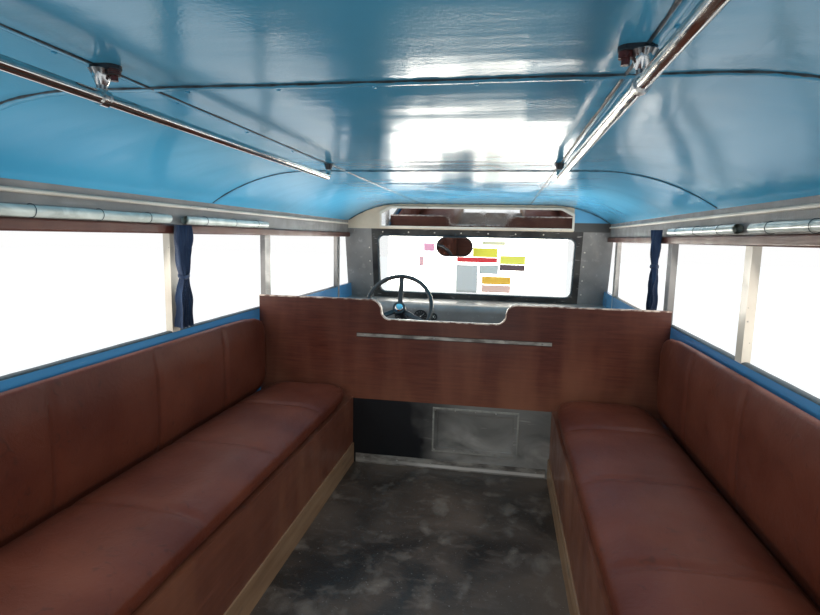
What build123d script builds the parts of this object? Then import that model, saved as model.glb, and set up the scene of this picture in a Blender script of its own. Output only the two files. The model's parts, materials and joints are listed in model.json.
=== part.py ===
"""Cabin body of an open-sided share taxi: floor, sides, crowned roof, passenger room and cab.

Millimetres. +Y is forward, +X is to the right of the driver, +Z is up. The origin is under the
middle of the body, on the plane that the underframe runners stand on.
"""
from build123d import *
from math import cos, radians, sin, sqrt, tan
import os

# Overall sizes
BODY_LENGTH = 4700.0
CABIN_WIDTH = 1840.0
WALL = 25.0
END_PANEL = 30.0
SEAT_GAP = 0.3

# Floor build-up
RUNNER_HEIGHT = 50.0
RUNNER_WIDTH = 60.0
RUNNER_SPACING = 800.0
RUNNER_SHEET = 5.0
BEARER_HEIGHT = 30.0
BEARER_WIDTH = 60.0
BEARER_BRIM = 14.0
BEARER_SHEET = 4.0
BEARER_COUNT = 11
FLOOR_SHEET = 25.0
MAT_SHEET = 5.0
MAT_MARGIN = 20.0
SKIRT_CLEARANCE = 20.0

# Heights above the walked-on floor
SILL_HEIGHT = 720.0
WINDOW_TOP_HEIGHT = 1090.0
CEILING_EDGE_HEIGHT = 1185.0
CEILING_HEIGHT = 1310.0
DOORWAY_HEIGHT = 1130.0
MOULDING_HEIGHT = 1161.0

# Crowned roof
CEILING_FLAT_WIDTH = 1040.0
LINING = 3.0
ROOF_DEPTH = 30.0
LINING_SEAM = 3.0
LONG_SEAM_X = 380.0
CROSS_SEAM_PITCH = 1130.0
CROSS_SEAMS = 3
FRONT_SEAM_SETBACK = 405.0
ROOF_VISOR = 40.0

# Lengths along the body
CAB_LENGTH = 1650.0
FOOTWELL_LENGTH = 435.0
PARTITION_TO_DOOR = 130.0
PARTITION_BOARD = 20.0
DOOR_POST_WIDTH = 60.0
WINDOW_BAYS = 4
PILLAR_WIDTH = 45.0

# Rear doorway and step
DOORWAY_WIDTH = 880.0
JAMB_WIDTH = 40.0
STEP_DEPTH = 250.0
STEP_SHEET = 4.0
HANDLE_REACH = 60.0
HANDLE_RADIUS = 11.0
HANDLE_BEND = 30.0
HANDLE_SETBACK = 20.0

# Wheel space
REAR_OVERHANG = 1140.0
AXLE_DROP = 110.0
WHEEL_SPACE_RADIUS = 400.0
WHEEL_BOX_SHEET = 4.0
WHEEL_BOX_DEPTH = 440.0
WHEEL_BOX_FLANGE = 30.0
BEARER_TO_BOX = 10.0
ARCH_PANEL_LENGTH = 940.0
ARCH_LIP = 16.0
ARCH_LIP_PROUD = 6.0
PANEL_JOINT = 1.0

# Outside bead on the side panels
BEAD_HEIGHTS = (330.0, 620.0)
BEAD_SIZE = 6.0

# Benches
BENCH_FRONT_X = 440.0
BENCH_SEAT_HEIGHT = 400.0
BENCH_CUSHION = 80.0
BENCH_BOARD = 18.0
BENCH_TOE_SPACE = 15.0
PLINTH_HEIGHT = 95.0
PLINTH_BOARD = 6.0
BACKREST_DEPTH = 55.0
BACKREST_HEIGHT = 715.0
PAD_END_GAP = 5.0

# Grab rails
RAIL_X = 378.0
RAIL_RADIUS = 9.5
RAIL_WALL = 2.0
RAIL_DROP = 45.0
RAIL_BEND = 22.0
RAIL_FRONT_SETBACK = 600.0
RAIL_POST_SETBACK = 1650.0
RAIL_REAR_SETBACK = 110.0
RAIL_FOOT_RADIUS = 15.0
RAIL_FOOT_HEIGHT = 20.0
POST_PLATE_SHEET = 5.0
POST_PLATE_WIDTH = 30.0
POST_PLATE_OUTBOARD = 16.0
POST_PLATE_INBOARD = 31.0
POST_FLARE_RADIUS = 14.0
POST_FLARE_HEIGHT = 26.0
POST_FLARE_BEND = 48.0
POST_WAIST_RADIUS = 6.0
POST_PAD_RADIUS = 9.0
POST_PAD_HEIGHT = 9.0
POST_BOLT_RADIUS = 5.5
POST_BOLT_LENGTH = 8.0
POST_BOLT_INBOARD = 21.0
POST_RING_RADIUS = 12.0
POST_RING_WIDTH = 16.0
POST_RING_GAP = 0.15

# Partition
LOWER_PANEL_SHEET = 15.0
LOWER_PANEL_HEIGHT = 314.0
SCOOP_HEIGHT = 691.0
BOARD_TOP_HEIGHT = 780.0
SCOOP_LEFT_X = -285.0
SCOOP_RIGHT_X = 195.0
SCOOP_RUN = 90.0
PIPING = 5.0
PIPING_PROUD = 3.0
STRIP_HEIGHT = 618.0
STRIP_WIDTH = 20.0
STRIP_SHEET = 2.0
KICK_HEIGHT = 45.0
HATCH_LEFT_X = -75.0
HATCH_RIGHT_X = 315.0
HATCH_LOW = 86.0
HATCH_HIGH = 297.0
HATCH_FRAME = 22.0
HATCH_PROUD = 4.0

# Windscreen, at its middle plane
WINDSCREEN_SETBACK = 50.0
WINDSCREEN_FOOT_HEIGHT = 650.0
WINDSCREEN_RAKE = 12.4
WINDSCREEN_DEPTH = 30.0
CORNER_PANEL_WIDTH = 175.0
WINDSCREEN_BAND = 46.0
GLASS_TOP_HEIGHT = 1083.0
GLASS_FOOT_HEIGHT = 660.0
GLASS_SHEET = 6.0
GLASS_CORNER = 45.0
COWL_HEIGHT = 620.0

# Dashboard
DASH_DEPTH = 330.0
DASH_FOOT_HEIGHT = 450.0
DASH_LEAN = 25.0
DASH_SHEET = 12.0
DASH_NOSE_RADIUS = 50.0
GAUGE_PROUD = 7.0
GAUGE_RIM = 5.0
GAUGE_RECESS = 3.0
GAUGE_DROP = 95.0
# place to the right of the steering wheel's middle, radius
GAUGES = ((-75.0, 48.0), (60.0, 48.0), (150.0, 28.0))

# Mirrors
WIDE_MIRROR_WIDTH = 1360.0
WIDE_MIRROR_LOW = 1136.0
WIDE_MIRROR_HIGH = 1288.0
WIDE_MIRROR_DEPTH = 20.0
WIDE_MIRROR_CUT = 78.0
WIDE_MIRROR_FRAME = 14.0
WIDE_MIRROR_RECESS = 6.0
OVAL_MIRROR_X = -131.0
OVAL_MIRROR_GAP = 56.0
OVAL_MIRROR_WIDTH = 260.0
OVAL_MIRROR_TALL = 140.0
OVAL_MIRROR_DEPTH = 22.0
OVAL_MIRROR_RIM = 8.0
OVAL_MIRROR_REACH = 40.0
OVAL_STEM_RADIUS = 7.0
OVAL_STEM_RISE = 20.0
OVAL_FOOT_WIDTH = 60.0
OVAL_FOOT_TALL = 40.0
OVAL_FOOT_SHEET = 8.0
MIRROR_GLASS = 3.0
MIRROR_EDGE_GAP = 0.5

# Steering
WHEEL_X = -400.0
WHEEL_TO_DASH = 490.0
WHEEL_HEIGHT = 650.0
STEERING_TILT = 27.0
STEERING_RADIUS = 200.0
STEERING_RIM = 13.0
STEERING_DISH = 35.0
HUB_RADIUS = 38.0
HUB_LENGTH = 46.0
SPOKE_WIDTH = 30.0
SPOKE_THICK = 12.0
SPOKE_RISE = 11.5
SHAFT_RADIUS = 10.0
SHAFT_CLEARANCE = 0.05
SHAFT_LENGTH = 40.0
COLUMN_RADIUS = 22.0
COLUMN_GAP = 6.0
HANGER_WIDTH = 24.0
HANGER_LENGTH = 30.0

# Pedals, hung from the bulkhead
# place to the right of the steering wheel's middle, pad width, pad height
PEDALS = ((-105.0, 62.0, 52.0), (75.0, 62.0, 52.0), (160.0, 46.0, 110.0))
PEDAL_PIVOT_HEIGHT = 430.0
PEDAL_PIVOT_SETBACK = 60.0
PEDAL_PAD_HEIGHT = 150.0
PEDAL_PAD_SETBACK = 230.0
PEDAL_PAD_SHEET = 10.0
PEDAL_ARM_RADIUS = 7.0
PEDAL_TUBE_RADIUS = 10.0
PEDAL_BRACKET_SHEET = 5.0

# Cab seats and tunnel
DRIVER_SEAT_WIDTH = 550.0
PASSENGER_SEAT_WIDTH = 690.0
SEAT_TO_TUNNEL = 40.0
DRIVER_SEAT_X = -505.0
SEAT_BOX_LENGTH = 508.0
SEAT_BOX_HEIGHT = 220.0
SEAT_BOX_SHEET = 12.0
CAB_CUSHION = 100.0
CAB_BACK_DEPTH = 75.0
CAB_BACK_HEIGHT = 670.0
CAB_CUSHION_NOSE = 15.0
CUSHION_EDGE = 18.0
TUNNEL_FOOT_WIDTH = 240.0
TUNNEL_TOP_WIDTH = 170.0
TUNNEL_HEIGHT = 105.0
TUNNEL_SHEET = 5.0
LEVER_TO_DASH = 510.0
LEVER_LENGTH = 330.0
LEVER_LEAN = 12.0
LEVER_RADIUS = 7.0
BOOT_RADIUS = 48.0
BOOT_HEIGHT = 50.0
KNOB_RADIUS = 22.0

# Cab doors
DOOR_DEPTH = 35.0
DOOR_GAP = 8.0
DOOR_HINGE_GAP = 10.0
DOOR_CORNER = 60.0
DOOR_POCKET_SIDE = 70.0
DOOR_POCKET_END = 90.0
DOOR_POCKET_DEPTH = 16.0
DOOR_POCKET_CORNER = 40.0
HINGE_PROUD = 9.0
HINGE_RADIUS = 8.0
PIN_RADIUS = 4.0
PIN_CLEARANCE = 0.05
HINGE_HEIGHTS = (150.0, 600.0)
KNUCKLE_HALF = 15.0
HINGE_HALF = 35.0
LEAF_LENGTH = 55.0
LEAF_SHEET = 4.0
GRIP_REACH = 30.0
GRIP_RADIUS = 6.0
GRIP_BEND = 12.0
GRIP_ROOT = 4.0
GRIP_LENGTH = 130.0
GRIP_SETBACK = 60.0
GRIP_DROP = 110.0

# Soft trim
HEAD_DEPTH = 15.0
HEAD_LOW_HEIGHT = 1065.0
HEAD_TALL = 32.0
ROLL_DIAMETER = 34.0
ROLL_END_GAP = 45.0
MOULDING_TALL = 12.0
MOULDING_DEPTH = 8.0
CURTAIN_THICK = 40.0
CURTAIN_WIDTH = 90.0
CURTAIN_FOOT_GAP = 20.0
RIGHT_CURTAIN_TO_DOOR = 15.0
RIGHT_CURTAIN_HEAD = 35.0
LEFT_CURTAIN_HEAD = 5.0

# Bolt holes
CHASSIS_BOLT_PITCH = 1360.0
CHASSIS_BOLT_RADIUS = 6.5
FRONT_BOLTS_SETBACK = 1310.0
REAR_BOLTS_SETBACK = 1190.0
CLIP_BOLT_SPACING_X = 1400.0
CLIP_BOLT_SPACING_Z = 440.0
CLIP_BOLT_HEIGHT = 400.0
CLIP_BOLT_RADIUS = 5.5

# Worked-out levels and stations
HALF_IN = CABIN_WIDTH / 2
HALF_OUT = HALF_IN + WALL
BEARER_TOP = RUNNER_HEIGHT + BEARER_HEIGHT
DECK = BEARER_TOP + FLOOR_SHEET
FLOOR = DECK + MAT_SHEET
SILL = FLOOR + SILL_HEIGHT
WINDOW_TOP = FLOOR + WINDOW_TOP_HEIGHT
CEILING_EDGE = FLOOR + CEILING_EDGE_HEIGHT
CEILING = FLOOR + CEILING_HEIGHT
COWL = FLOOR + COWL_HEIGHT
FRONT_OUT = BODY_LENGTH / 2
FRONT_IN = FRONT_OUT - END_PANEL
REAR_OUT = -BODY_LENGTH / 2 + HANDLE_REACH
REAR_IN = REAR_OUT + END_PANEL
STEP_FRONT_Y = REAR_OUT + STEP_DEPTH
AXLE_Y = REAR_OUT + REAR_OVERHANG
PARTITION_Y = FRONT_OUT - CAB_LENGTH
PARTITION_FRONT_Y = PARTITION_Y + PARTITION_BOARD
DOOR_OPEN_REAR = PARTITION_Y + PARTITION_TO_DOOR
DOOR_OPEN_FRONT = FRONT_OUT - FOOTWELL_LENGTH
PARTITION_PILLAR_Y = DOOR_OPEN_REAR - DOOR_POST_WIDTH / 2
PILLAR_PITCH = (PARTITION_PILLAR_Y - REAR_IN) / WINDOW_BAYS
DASH_NOSE_Y = FRONT_IN - DASH_DEPTH
WHEEL_Y = DASH_NOSE_Y - WHEEL_TO_DASH
LEVER_Y = DASH_NOSE_Y - LEVER_TO_DASH
WINDSCREEN_FOOT_Y = FRONT_OUT - WINDSCREEN_SETBACK
WINDSCREEN_WIDTH = CABIN_WIDTH - 2 * CORNER_PANEL_WIDTH
RAIL_FRONT_Y = PARTITION_Y - RAIL_FRONT_SETBACK
RAIL_POST_Y = PARTITION_Y - RAIL_POST_SETBACK
RAIL_REAR_Y = REAR_IN + RAIL_REAR_SETBACK
OVAL_MIRROR_Z = FLOOR + WIDE_MIRROR_LOW - OVAL_MIRROR_GAP - OVAL_MIRROR_TALL / 2
PASSENGER_SEAT_X = TUNNEL_FOOT_WIDTH / 2 + SEAT_TO_TUNNEL + PASSENGER_SEAT_WIDTH / 2
CHASSIS_BOLT_STATIONS = [
    middle + end * CHASSIS_BOLT_PITCH / 2
    for middle in (REAR_OUT + REAR_BOLTS_SETBACK, FRONT_OUT - FRONT_BOLTS_SETBACK) for end in (-1, 1)
]
# middle across, width
CAB_SEATS = {
    "driver_seat": (DRIVER_SEAT_X, DRIVER_SEAT_WIDTH),
    "passenger_seat": (PASSENGER_SEAT_X, PASSENGER_SEAT_WIDTH),
}
FLAT_HALF = CEILING_FLAT_WIDTH / 2
CROWN_DROP = CEILING - CEILING_EDGE
CROWN_RADIUS = ((HALF_IN - FLAT_HALF) ** 2 + CROWN_DROP**2) / (2 * CROWN_DROP)
CROWN_Z = CEILING - CROWN_RADIUS
HEADER_FOOT = FLOOR + DOORWAY_HEIGHT
WINDSCREEN_TOP = FLOOR + GLASS_TOP_HEIGHT + WINDSCREEN_BAND
BENCH_TOP = FLOOR + BENCH_SEAT_HEIGHT - BENCH_CUSHION


def block(x0, x1, y0, y1, z0, z1):
    """A square-edged piece between two corners."""
    return Pos(x0, y0, z0) * Box(x1 - x0, y1 - y0, z1 - z0, align=(Align.MIN,) * 3)


def along_y(section, y_rear, y_front):
    """Carry a cross-section drawn in X and Z from one station to another."""
    return extrude(Plane.XZ.offset(-y_front) * section, amount=y_front - y_rear)


def along_x(section, x_left, x_right):
    """Carry a section drawn in Y and Z across the body."""
    return extrude(Plane.YZ.offset(x_left) * section, amount=x_right - x_left)


def mirrored(pieces):
    """The same pieces on both sides of the body, right side first."""
    return pieces + [mirror(piece, about=Plane.YZ) for piece in pieces]


def outline(*points):
    """A face with straight sides through the points."""
    return make_face(Polyline(*points, close=True))


def crown_height(x, offset):
    """Height of the crowned ceiling at x, raised square to it by an offset."""
    beyond = max(abs(x) - FLAT_HALF, 0.0)
    return CROWN_Z + sqrt((CROWN_RADIUS + offset) ** 2 - beyond**2)


def crown_reach(z, offset):
    """How far out the crowned ceiling, raised by an offset, reaches at a height."""
    return FLAT_HALF + sqrt((CROWN_RADIUS + offset) ** 2 - (z - CROWN_Z) ** 2)


def crown_arc(x_from, x_to, offset):
    """The shoulder's arc between two places on the right-hand side."""
    middle = (x_from + x_to) / 2
    ends = [(x, crown_height(x, offset)) for x in (x_from, middle, x_to)]
    return ThreePointArc(*ends)


def crown_strip(x_in, x_out_low, x_out_high, low, high):
    """Cross-section of a curved panel between two offsets, closed level at its foot."""
    corners = [
        (x_out_low, crown_height(x_out_low, low)),
        (x_out_high, crown_height(x_out_high, high)),
        (x_in, crown_height(x_in, high)),
        (x_in, crown_height(x_in, low)),
    ]
    edges = [
        Line(corners[0], corners[1]),
        crown_arc(max(x_in, FLAT_HALF), x_out_high, high),
        crown_arc(max(x_in, FLAT_HALF), x_out_low, low),
        Line(corners[2], corners[3]),
    ]
    if x_in < FLAT_HALF:
        for level in (low, high):
            edges.append(Line((x_in, CEILING + level), (FLAT_HALF, CEILING + level)))
    return make_face(Curve() + edges)


def arch_plate(foot, side, offset, y_rear, y_front):
    """An upright plate that fills the space from a level foot up to the crowned roof."""
    level = crown_height(side, offset)
    edges = [
        Line((-side, level), (-side, foot)),
        Line((-side, foot), (side, foot)),
        Line((side, foot), (side, level)),
        crown_arc(FLAT_HALF, side, offset),
        Line((-FLAT_HALF, CEILING + offset), (FLAT_HALF, CEILING + offset)),
        mirror(crown_arc(FLAT_HALF, side, offset), about=Plane.YZ),
    ]
    return along_y(make_face(Curve() + edges), y_rear, y_front)


def soft_block(x0, x1, y0, y1, z0, z1, edge):
    """A plain upholstered block with rounded edges."""
    piece = block(x0, x1, y0, y1, z0, z1)
    return fillet(piece.edges(), min(edge, 0.45 * min(x1 - x0, y1 - y0, z1 - z0)))


# Floor

def underframe_runners():
    """Two channels, open to the outside, drilled for the chassis bolts."""
    half = RUNNER_WIDTH / 2
    outer = RUNNER_SPACING / 2 + half
    inner = RUNNER_SPACING / 2 - half
    section = outline(
        (outer, 0), (inner, 0), (inner, RUNNER_HEIGHT), (outer, RUNNER_HEIGHT),
        (outer, RUNNER_HEIGHT - RUNNER_SHEET), (inner + RUNNER_SHEET, RUNNER_HEIGHT - RUNNER_SHEET),
        (inner + RUNNER_SHEET, RUNNER_SHEET), (outer, RUNNER_SHEET),
    )
    runner = along_y(section, STEP_FRONT_Y + STEP_SHEET, FRONT_IN)
    for y in CHASSIS_BOLT_STATIONS:
        at_hole = Pos(RUNNER_SPACING / 2, y, RUNNER_HEIGHT / 2)
        runner -= at_hole * Cylinder(CHASSIS_BOLT_RADIUS, 2 * RUNNER_HEIGHT)
    return mirrored([runner])


def bearer_stations():
    """Even stations of the floor bearers, from the step to the bulkhead."""
    first = STEP_FRONT_Y + BEARER_WIDTH
    last = FRONT_IN - BEARER_WIDTH / 2
    return [first + i * (last - first) / (BEARER_COUNT - 1) for i in range(BEARER_COUNT)]


def floor_bearers():
    """Top-hat bearers across the runners, cut short beside the wheel boxes."""
    half = BEARER_WIDTH / 2
    brim = half - BEARER_BRIM
    low = RUNNER_HEIGHT
    bearers = []
    for y in bearer_stations():
        beside_wheel = abs(y - AXLE_Y) < WHEEL_SPACE_RADIUS
        reach = HALF_IN - WHEEL_BOX_DEPTH - BEARER_TO_BOX if beside_wheel else HALF_IN
        hat = outline(
            (y - half, low), (y - brim + BEARER_SHEET, low),
            (y - brim + BEARER_SHEET, BEARER_TOP - BEARER_SHEET),
            (y + brim - BEARER_SHEET, BEARER_TOP - BEARER_SHEET),
            (y + brim - BEARER_SHEET, low), (y + half, low),
            (y + half, low + BEARER_SHEET), (y + brim, low + BEARER_SHEET), (y + brim, BEARER_TOP),
            (y - brim, BEARER_TOP), (y - brim, low + BEARER_SHEET), (y - half, low + BEARER_SHEET),
        )
        bearers.append(along_x(hat, -reach, reach))
    return bearers


def wheel_cut_half_length(z):
    """Half length of the wheel space at a height."""
    return sqrt((WHEEL_SPACE_RADIUS + WHEEL_BOX_SHEET) ** 2 - (z + AXLE_DROP) ** 2)


def floor_panel():
    """One deck sheet with the step well and both wheel boxes cut out."""
    panel = block(-HALF_IN, HALF_IN, REAR_IN, FRONT_IN, BEARER_TOP, DECK)
    panel -= block(-DOORWAY_WIDTH / 2 + BENCH_TOE_SPACE, DOORWAY_WIDTH / 2 - BENCH_TOE_SPACE,
                   REAR_OUT, STEP_FRONT_Y, BEARER_TOP - 1, DECK + 1)
    half = wheel_cut_half_length(DECK)
    inner = HALF_IN - WHEEL_BOX_DEPTH
    for side in (-1, 1):
        x0, x1 = sorted((side * inner, side * (HALF_IN + 1)))
        panel -= block(x0, x1, AXLE_Y - half, AXLE_Y + half, BEARER_TOP - 1, DECK + 1)
    return [panel]


def floor_mat():
    """Worn rubber mat: one length in the aisle and one each side of the tunnel in the cab."""
    aisle_half = BENCH_FRONT_X + BENCH_TOE_SPACE - SEAT_GAP
    aisle = block(-aisle_half, aisle_half, STEP_FRONT_Y + 2, PARTITION_Y - SEAT_GAP, DECK, FLOOR)
    cab = block(TUNNEL_FOOT_WIDTH / 2 + SEAT_GAP, HALF_IN - MAT_MARGIN,
                PARTITION_FRONT_Y + SEAT_BOX_LENGTH + 3, FRONT_IN - SEAT_GAP, DECK, FLOOR)
    return [aisle] + mirrored([cab])


def rear_step():
    """Folded step well under the doorway: tread, riser and two cheeks."""
    half = DOORWAY_WIDTH / 2 - BENCH_TOE_SPACE
    well = block(-half, half, REAR_OUT, STEP_FRONT_Y, SKIRT_CLEARANCE, DECK)
    well -= block(-half + STEP_SHEET, half - STEP_SHEET, REAR_OUT - 1, STEP_FRONT_Y - STEP_SHEET,
                  SKIRT_CLEARANCE + STEP_SHEET, DECK + 1)
    return [well]


def wheel_boxes():
    """Half-round boxes over the wheels, with a flange on the deck."""
    inner = HALF_IN - WHEEL_BOX_DEPTH
    outer_radius = WHEEL_SPACE_RADIUS + WHEEL_BOX_SHEET
    turned = Plane(origin=(inner, AXLE_Y, -AXLE_DROP), x_dir=(0, 1, 0), z_dir=(1, 0, 0))
    drum = turned * extrude(Circle(outer_radius), amount=WHEEL_BOX_DEPTH)
    hollow = turned * Pos(0, 0, WHEEL_BOX_SHEET) * extrude(Circle(WHEEL_SPACE_RADIUS), amount=WHEEL_BOX_DEPTH)
    half = wheel_cut_half_length(DECK)
    behind_board = BENCH_FRONT_X + BENCH_TOE_SPACE + BENCH_BOARD + SEAT_GAP
    flange = block(behind_board, HALF_IN, AXLE_Y - half - WHEEL_BOX_FLANGE,
                   AXLE_Y + half + WHEEL_BOX_FLANGE, DECK, DECK + WHEEL_BOX_SHEET)
    above = block(0, HALF_IN, AXLE_Y - outer_radius, AXLE_Y + outer_radius, DECK, DECK + outer_radius)
    box = (drum & above) + flange - hollow
    return mirrored([box])


# Sides

def outside_bead(y0, y1, z):
    """A half-round bead along the outside of a panel on the right-hand side."""
    bead = Pos(HALF_OUT, (y0 + y1) / 2, z) * Rot(90, 0, 0) * Cylinder(BEAD_SIZE, y1 - y0)
    return bead & block(HALF_OUT - BEAD_SIZE / 2, HALF_OUT + BEAD_SIZE, y0, y1, z - BEAD_SIZE, z + BEAD_SIZE)


def side_panel(y0, y1, z0, z1):
    """A flat stretch of side wall with its outside beads."""
    panel = block(HALF_IN, HALF_OUT, y0, y1, z0, z1)
    for z in BEAD_HEIGHTS:
        if z1 > z + BEAD_SIZE:
            panel += outside_bead(y0, y1, z)
    return panel


def side_panels():
    """Rear, front, rocker and cowl panels of each side."""
    arch_rear = AXLE_Y - ARCH_PANEL_LENGTH / 2
    arch_front = AXLE_Y + ARCH_PANEL_LENGTH / 2
    post_rear = DOOR_OPEN_REAR - DOOR_POST_WIDTH
    post_front = DOOR_OPEN_FRONT + DOOR_POST_WIDTH
    rear = side_panel(REAR_IN, arch_rear - PANEL_JOINT, SKIRT_CLEARANCE, SILL)
    front = side_panel(arch_front + PANEL_JOINT, post_rear, SKIRT_CLEARANCE, SILL)
    rocker = block(HALF_IN, HALF_OUT, DOOR_OPEN_REAR, DOOR_OPEN_FRONT, SKIRT_CLEARANCE, DECK)
    cowl = side_panel(post_front, FRONT_IN, SKIRT_CLEARANCE, SILL)
    return mirrored([rear, front, rocker, cowl])


def arch_panels():
    """Side panels cut round over the wheels, with a lip round the cut."""
    y0 = AXLE_Y - ARCH_PANEL_LENGTH / 2
    y1 = AXLE_Y + ARCH_PANEL_LENGTH / 2
    panel = side_panel(y0, y1, SKIRT_CLEARANCE, SILL)
    at_axle = Pos(HALF_OUT, AXLE_Y, -AXLE_DROP) * Rot(0, 90, 0)
    lip = at_axle * Cylinder(WHEEL_SPACE_RADIUS + ARCH_LIP, 2 * ARCH_LIP_PROUD)
    lip &= block(HALF_IN, HALF_OUT + ARCH_LIP_PROUD, y0, y1, SKIRT_CLEARANCE, SILL)
    return mirrored([panel + lip - at_axle * Cylinder(WHEEL_SPACE_RADIUS, 3 * WALL)])


def window_pillars():
    """Side pillars, rear corner posts and doorway jambs."""
    half = PILLAR_WIDTH / 2
    pillars = []
    for bay in range(1, WINDOW_BAYS):
        y = PARTITION_PILLAR_Y - bay * PILLAR_PITCH
        pillars.append(block(HALF_IN, HALF_OUT, y - half, y + half, SILL, WINDOW_TOP))
    pillars.append(block(HALF_IN, HALF_OUT, REAR_OUT, REAR_OUT + 2 * END_PANEL, SILL, WINDOW_TOP))
    jamb = DOORWAY_WIDTH / 2
    pillars.append(block(jamb, jamb + JAMB_WIDTH, REAR_OUT, REAR_IN, SILL, HEADER_FOOT))
    return mirrored(pillars)


def windscreen_y(z):
    """Station of the windscreen's middle plane at a height."""
    return WINDSCREEN_FOOT_Y - (z - FLOOR - WINDSCREEN_FOOT_HEIGHT) * tan(radians(WINDSCREEN_RAKE))


def raked_slab(depth, z0, z1):
    """Section in Y and Z of a slab in the windscreen's plane, cut level at both ends."""
    half = depth / 2 / cos(radians(WINDSCREEN_RAKE))
    return outline(
        (windscreen_y(z0) - half, z0), (windscreen_y(z0) + half, z0),
        (windscreen_y(z1) + half, z1), (windscreen_y(z1) - half, z1),
    )


def cab_posts():
    """Door posts of each side and the raked post at the windscreen's corner."""
    posts = [
        block(HALF_IN, HALF_OUT, y, y + DOOR_POST_WIDTH, SKIRT_CLEARANCE, WINDOW_TOP)
        for y in (DOOR_OPEN_REAR - DOOR_POST_WIDTH, DOOR_OPEN_FRONT)
    ]
    corner = along_x(raked_slab(WINDSCREEN_DEPTH, SILL, WINDOW_TOP), HALF_IN, HALF_OUT)
    return mirrored(posts + [corner])


def cant_rails():
    """The long rails over the windows that carry the roof."""
    return mirrored([block(HALF_IN, HALF_OUT, REAR_OUT, header_front_y(), WINDOW_TOP, CEILING_EDGE)])


def window_heads():
    """Padded strips along the inside of the window heads."""
    low = FLOOR + HEAD_LOW_HEIGHT
    head = block(HALF_IN - HEAD_DEPTH, HALF_IN, REAR_IN, header_rear_y(), low, low + HEAD_TALL)
    inner = head.edges().filter_by(Axis.Y).sort_by(Axis.X)[:2]
    return mirrored([fillet(inner, HEAD_DEPTH * 0.4)])


def ceiling_mouldings():
    """Half-round mouldings below the ceiling's edge."""
    z = FLOOR + MOULDING_HEIGHT
    moulding = block(HALF_IN - MOULDING_DEPTH, HALF_IN, REAR_IN, header_rear_y(),
                     z - MOULDING_TALL / 2, z + MOULDING_TALL / 2)
    inner = moulding.edges().filter_by(Axis.Y).sort_by(Axis.X)[:2]
    return mirrored([fillet(inner, MOULDING_DEPTH * 0.6)])


def rear_panels():
    """End panels beside the doorway, behind the benches."""
    return mirrored([block(DOORWAY_WIDTH / 2, HALF_OUT, REAR_OUT, REAR_IN, SKIRT_CLEARANCE, SILL)])


# Roof

def header_rear_y():
    """Inner face of the header over the windscreen."""
    return windscreen_y(WINDSCREEN_TOP) - WINDSCREEN_DEPTH / 2 / cos(radians(WINDSCREEN_RAKE))


def header_front_y():
    """Outer face of the header over the windscreen."""
    return header_rear_y() + WINDSCREEN_DEPTH / cos(radians(WINDSCREEN_RAKE))


def roof_centre():
    """The flat middle of the roof."""
    low = CEILING + LINING + SEAT_GAP
    front = header_front_y() + ROOF_VISOR
    return [block(-FLAT_HALF, FLAT_HALF, REAR_OUT, front, low, CEILING + ROOF_DEPTH)]


def roof_shoulders():
    """Curved shoulders that end level on the cant rails and stand out as drip edges."""
    low = LINING + SEAT_GAP
    reach_low = crown_reach(CEILING_EDGE, low)
    reach_high = crown_reach(CEILING_EDGE, ROOF_DEPTH)
    section = crown_strip(FLAT_HALF, reach_low, reach_high, low, ROOF_DEPTH)
    return mirrored([along_y(section, REAR_OUT, header_front_y() + ROOF_VISOR)])


def lining_stations():
    """Ends of the ceiling panels, rear to front."""
    front_seam = PARTITION_Y - FRONT_SEAM_SETBACK
    seams = [front_seam - k * CROSS_SEAM_PITCH for k in reversed(range(CROSS_SEAMS))]
    seams = [y for y in seams if y > REAR_IN + LINING_SEAM]
    starts = [REAR_IN] + [y + LINING_SEAM / 2 for y in seams]
    ends = [y - LINING_SEAM / 2 for y in seams] + [header_rear_y() - SEAT_GAP]
    return list(zip(starts, ends))


def ceiling_centre():
    """Flat lining panels between the long seams."""
    half = LONG_SEAM_X - LINING_SEAM / 2
    return [block(-half, half, y0, y1, CEILING, CEILING + LINING) for y0, y1 in lining_stations()]


def ceiling_sides():
    """Curved lining panels from the long seams down to the cant rails."""
    start = LONG_SEAM_X + LINING_SEAM / 2
    section = crown_strip(start, crown_reach(CEILING_EDGE, 0), crown_reach(CEILING_EDGE, LINING), 0, LINING)
    return mirrored([along_y(section, y0, y1) for y0, y1 in lining_stations()])


def front_header():
    """Plate over the windscreen, up to the roof."""
    return [arch_plate(WINDSCREEN_TOP, HALF_IN, LINING + SEAT_GAP, header_rear_y(), header_front_y())]


def rear_header():
    """Plate over the rear doorway and end windows, up to the roof."""
    return [arch_plate(HEADER_FOOT, HALF_IN, LINING + SEAT_GAP, REAR_OUT, REAR_IN)]


# Passenger room

def grab_rails():
    """Two tubes under the ceiling, turned up at both ends into flared feet."""
    z = CEILING - RAIL_DROP
    foot = CEILING - RAIL_FOOT_HEIGHT
    path = FilletPolyline(
        (RAIL_X, RAIL_REAR_Y, foot), (RAIL_X, RAIL_REAR_Y, z),
        (RAIL_X, RAIL_FRONT_Y, z), (RAIL_X, RAIL_FRONT_Y, foot),
        radius=RAIL_BEND,
    )
    start = Plane(origin=path @ 0, z_dir=path % 0)
    ring = start * (Circle(RAIL_RADIUS) - Circle(RAIL_RADIUS - RAIL_WALL))
    rail = sweep(ring, path=path)
    for y in (RAIL_REAR_Y, RAIL_FRONT_Y):
        at_foot = Pos(RAIL_X, y, CEILING - RAIL_FOOT_HEIGHT / 2)
        rail += at_foot * Cone(RAIL_RADIUS, RAIL_FOOT_RADIUS, RAIL_FOOT_HEIGHT)
    return mirrored([rail])


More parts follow.
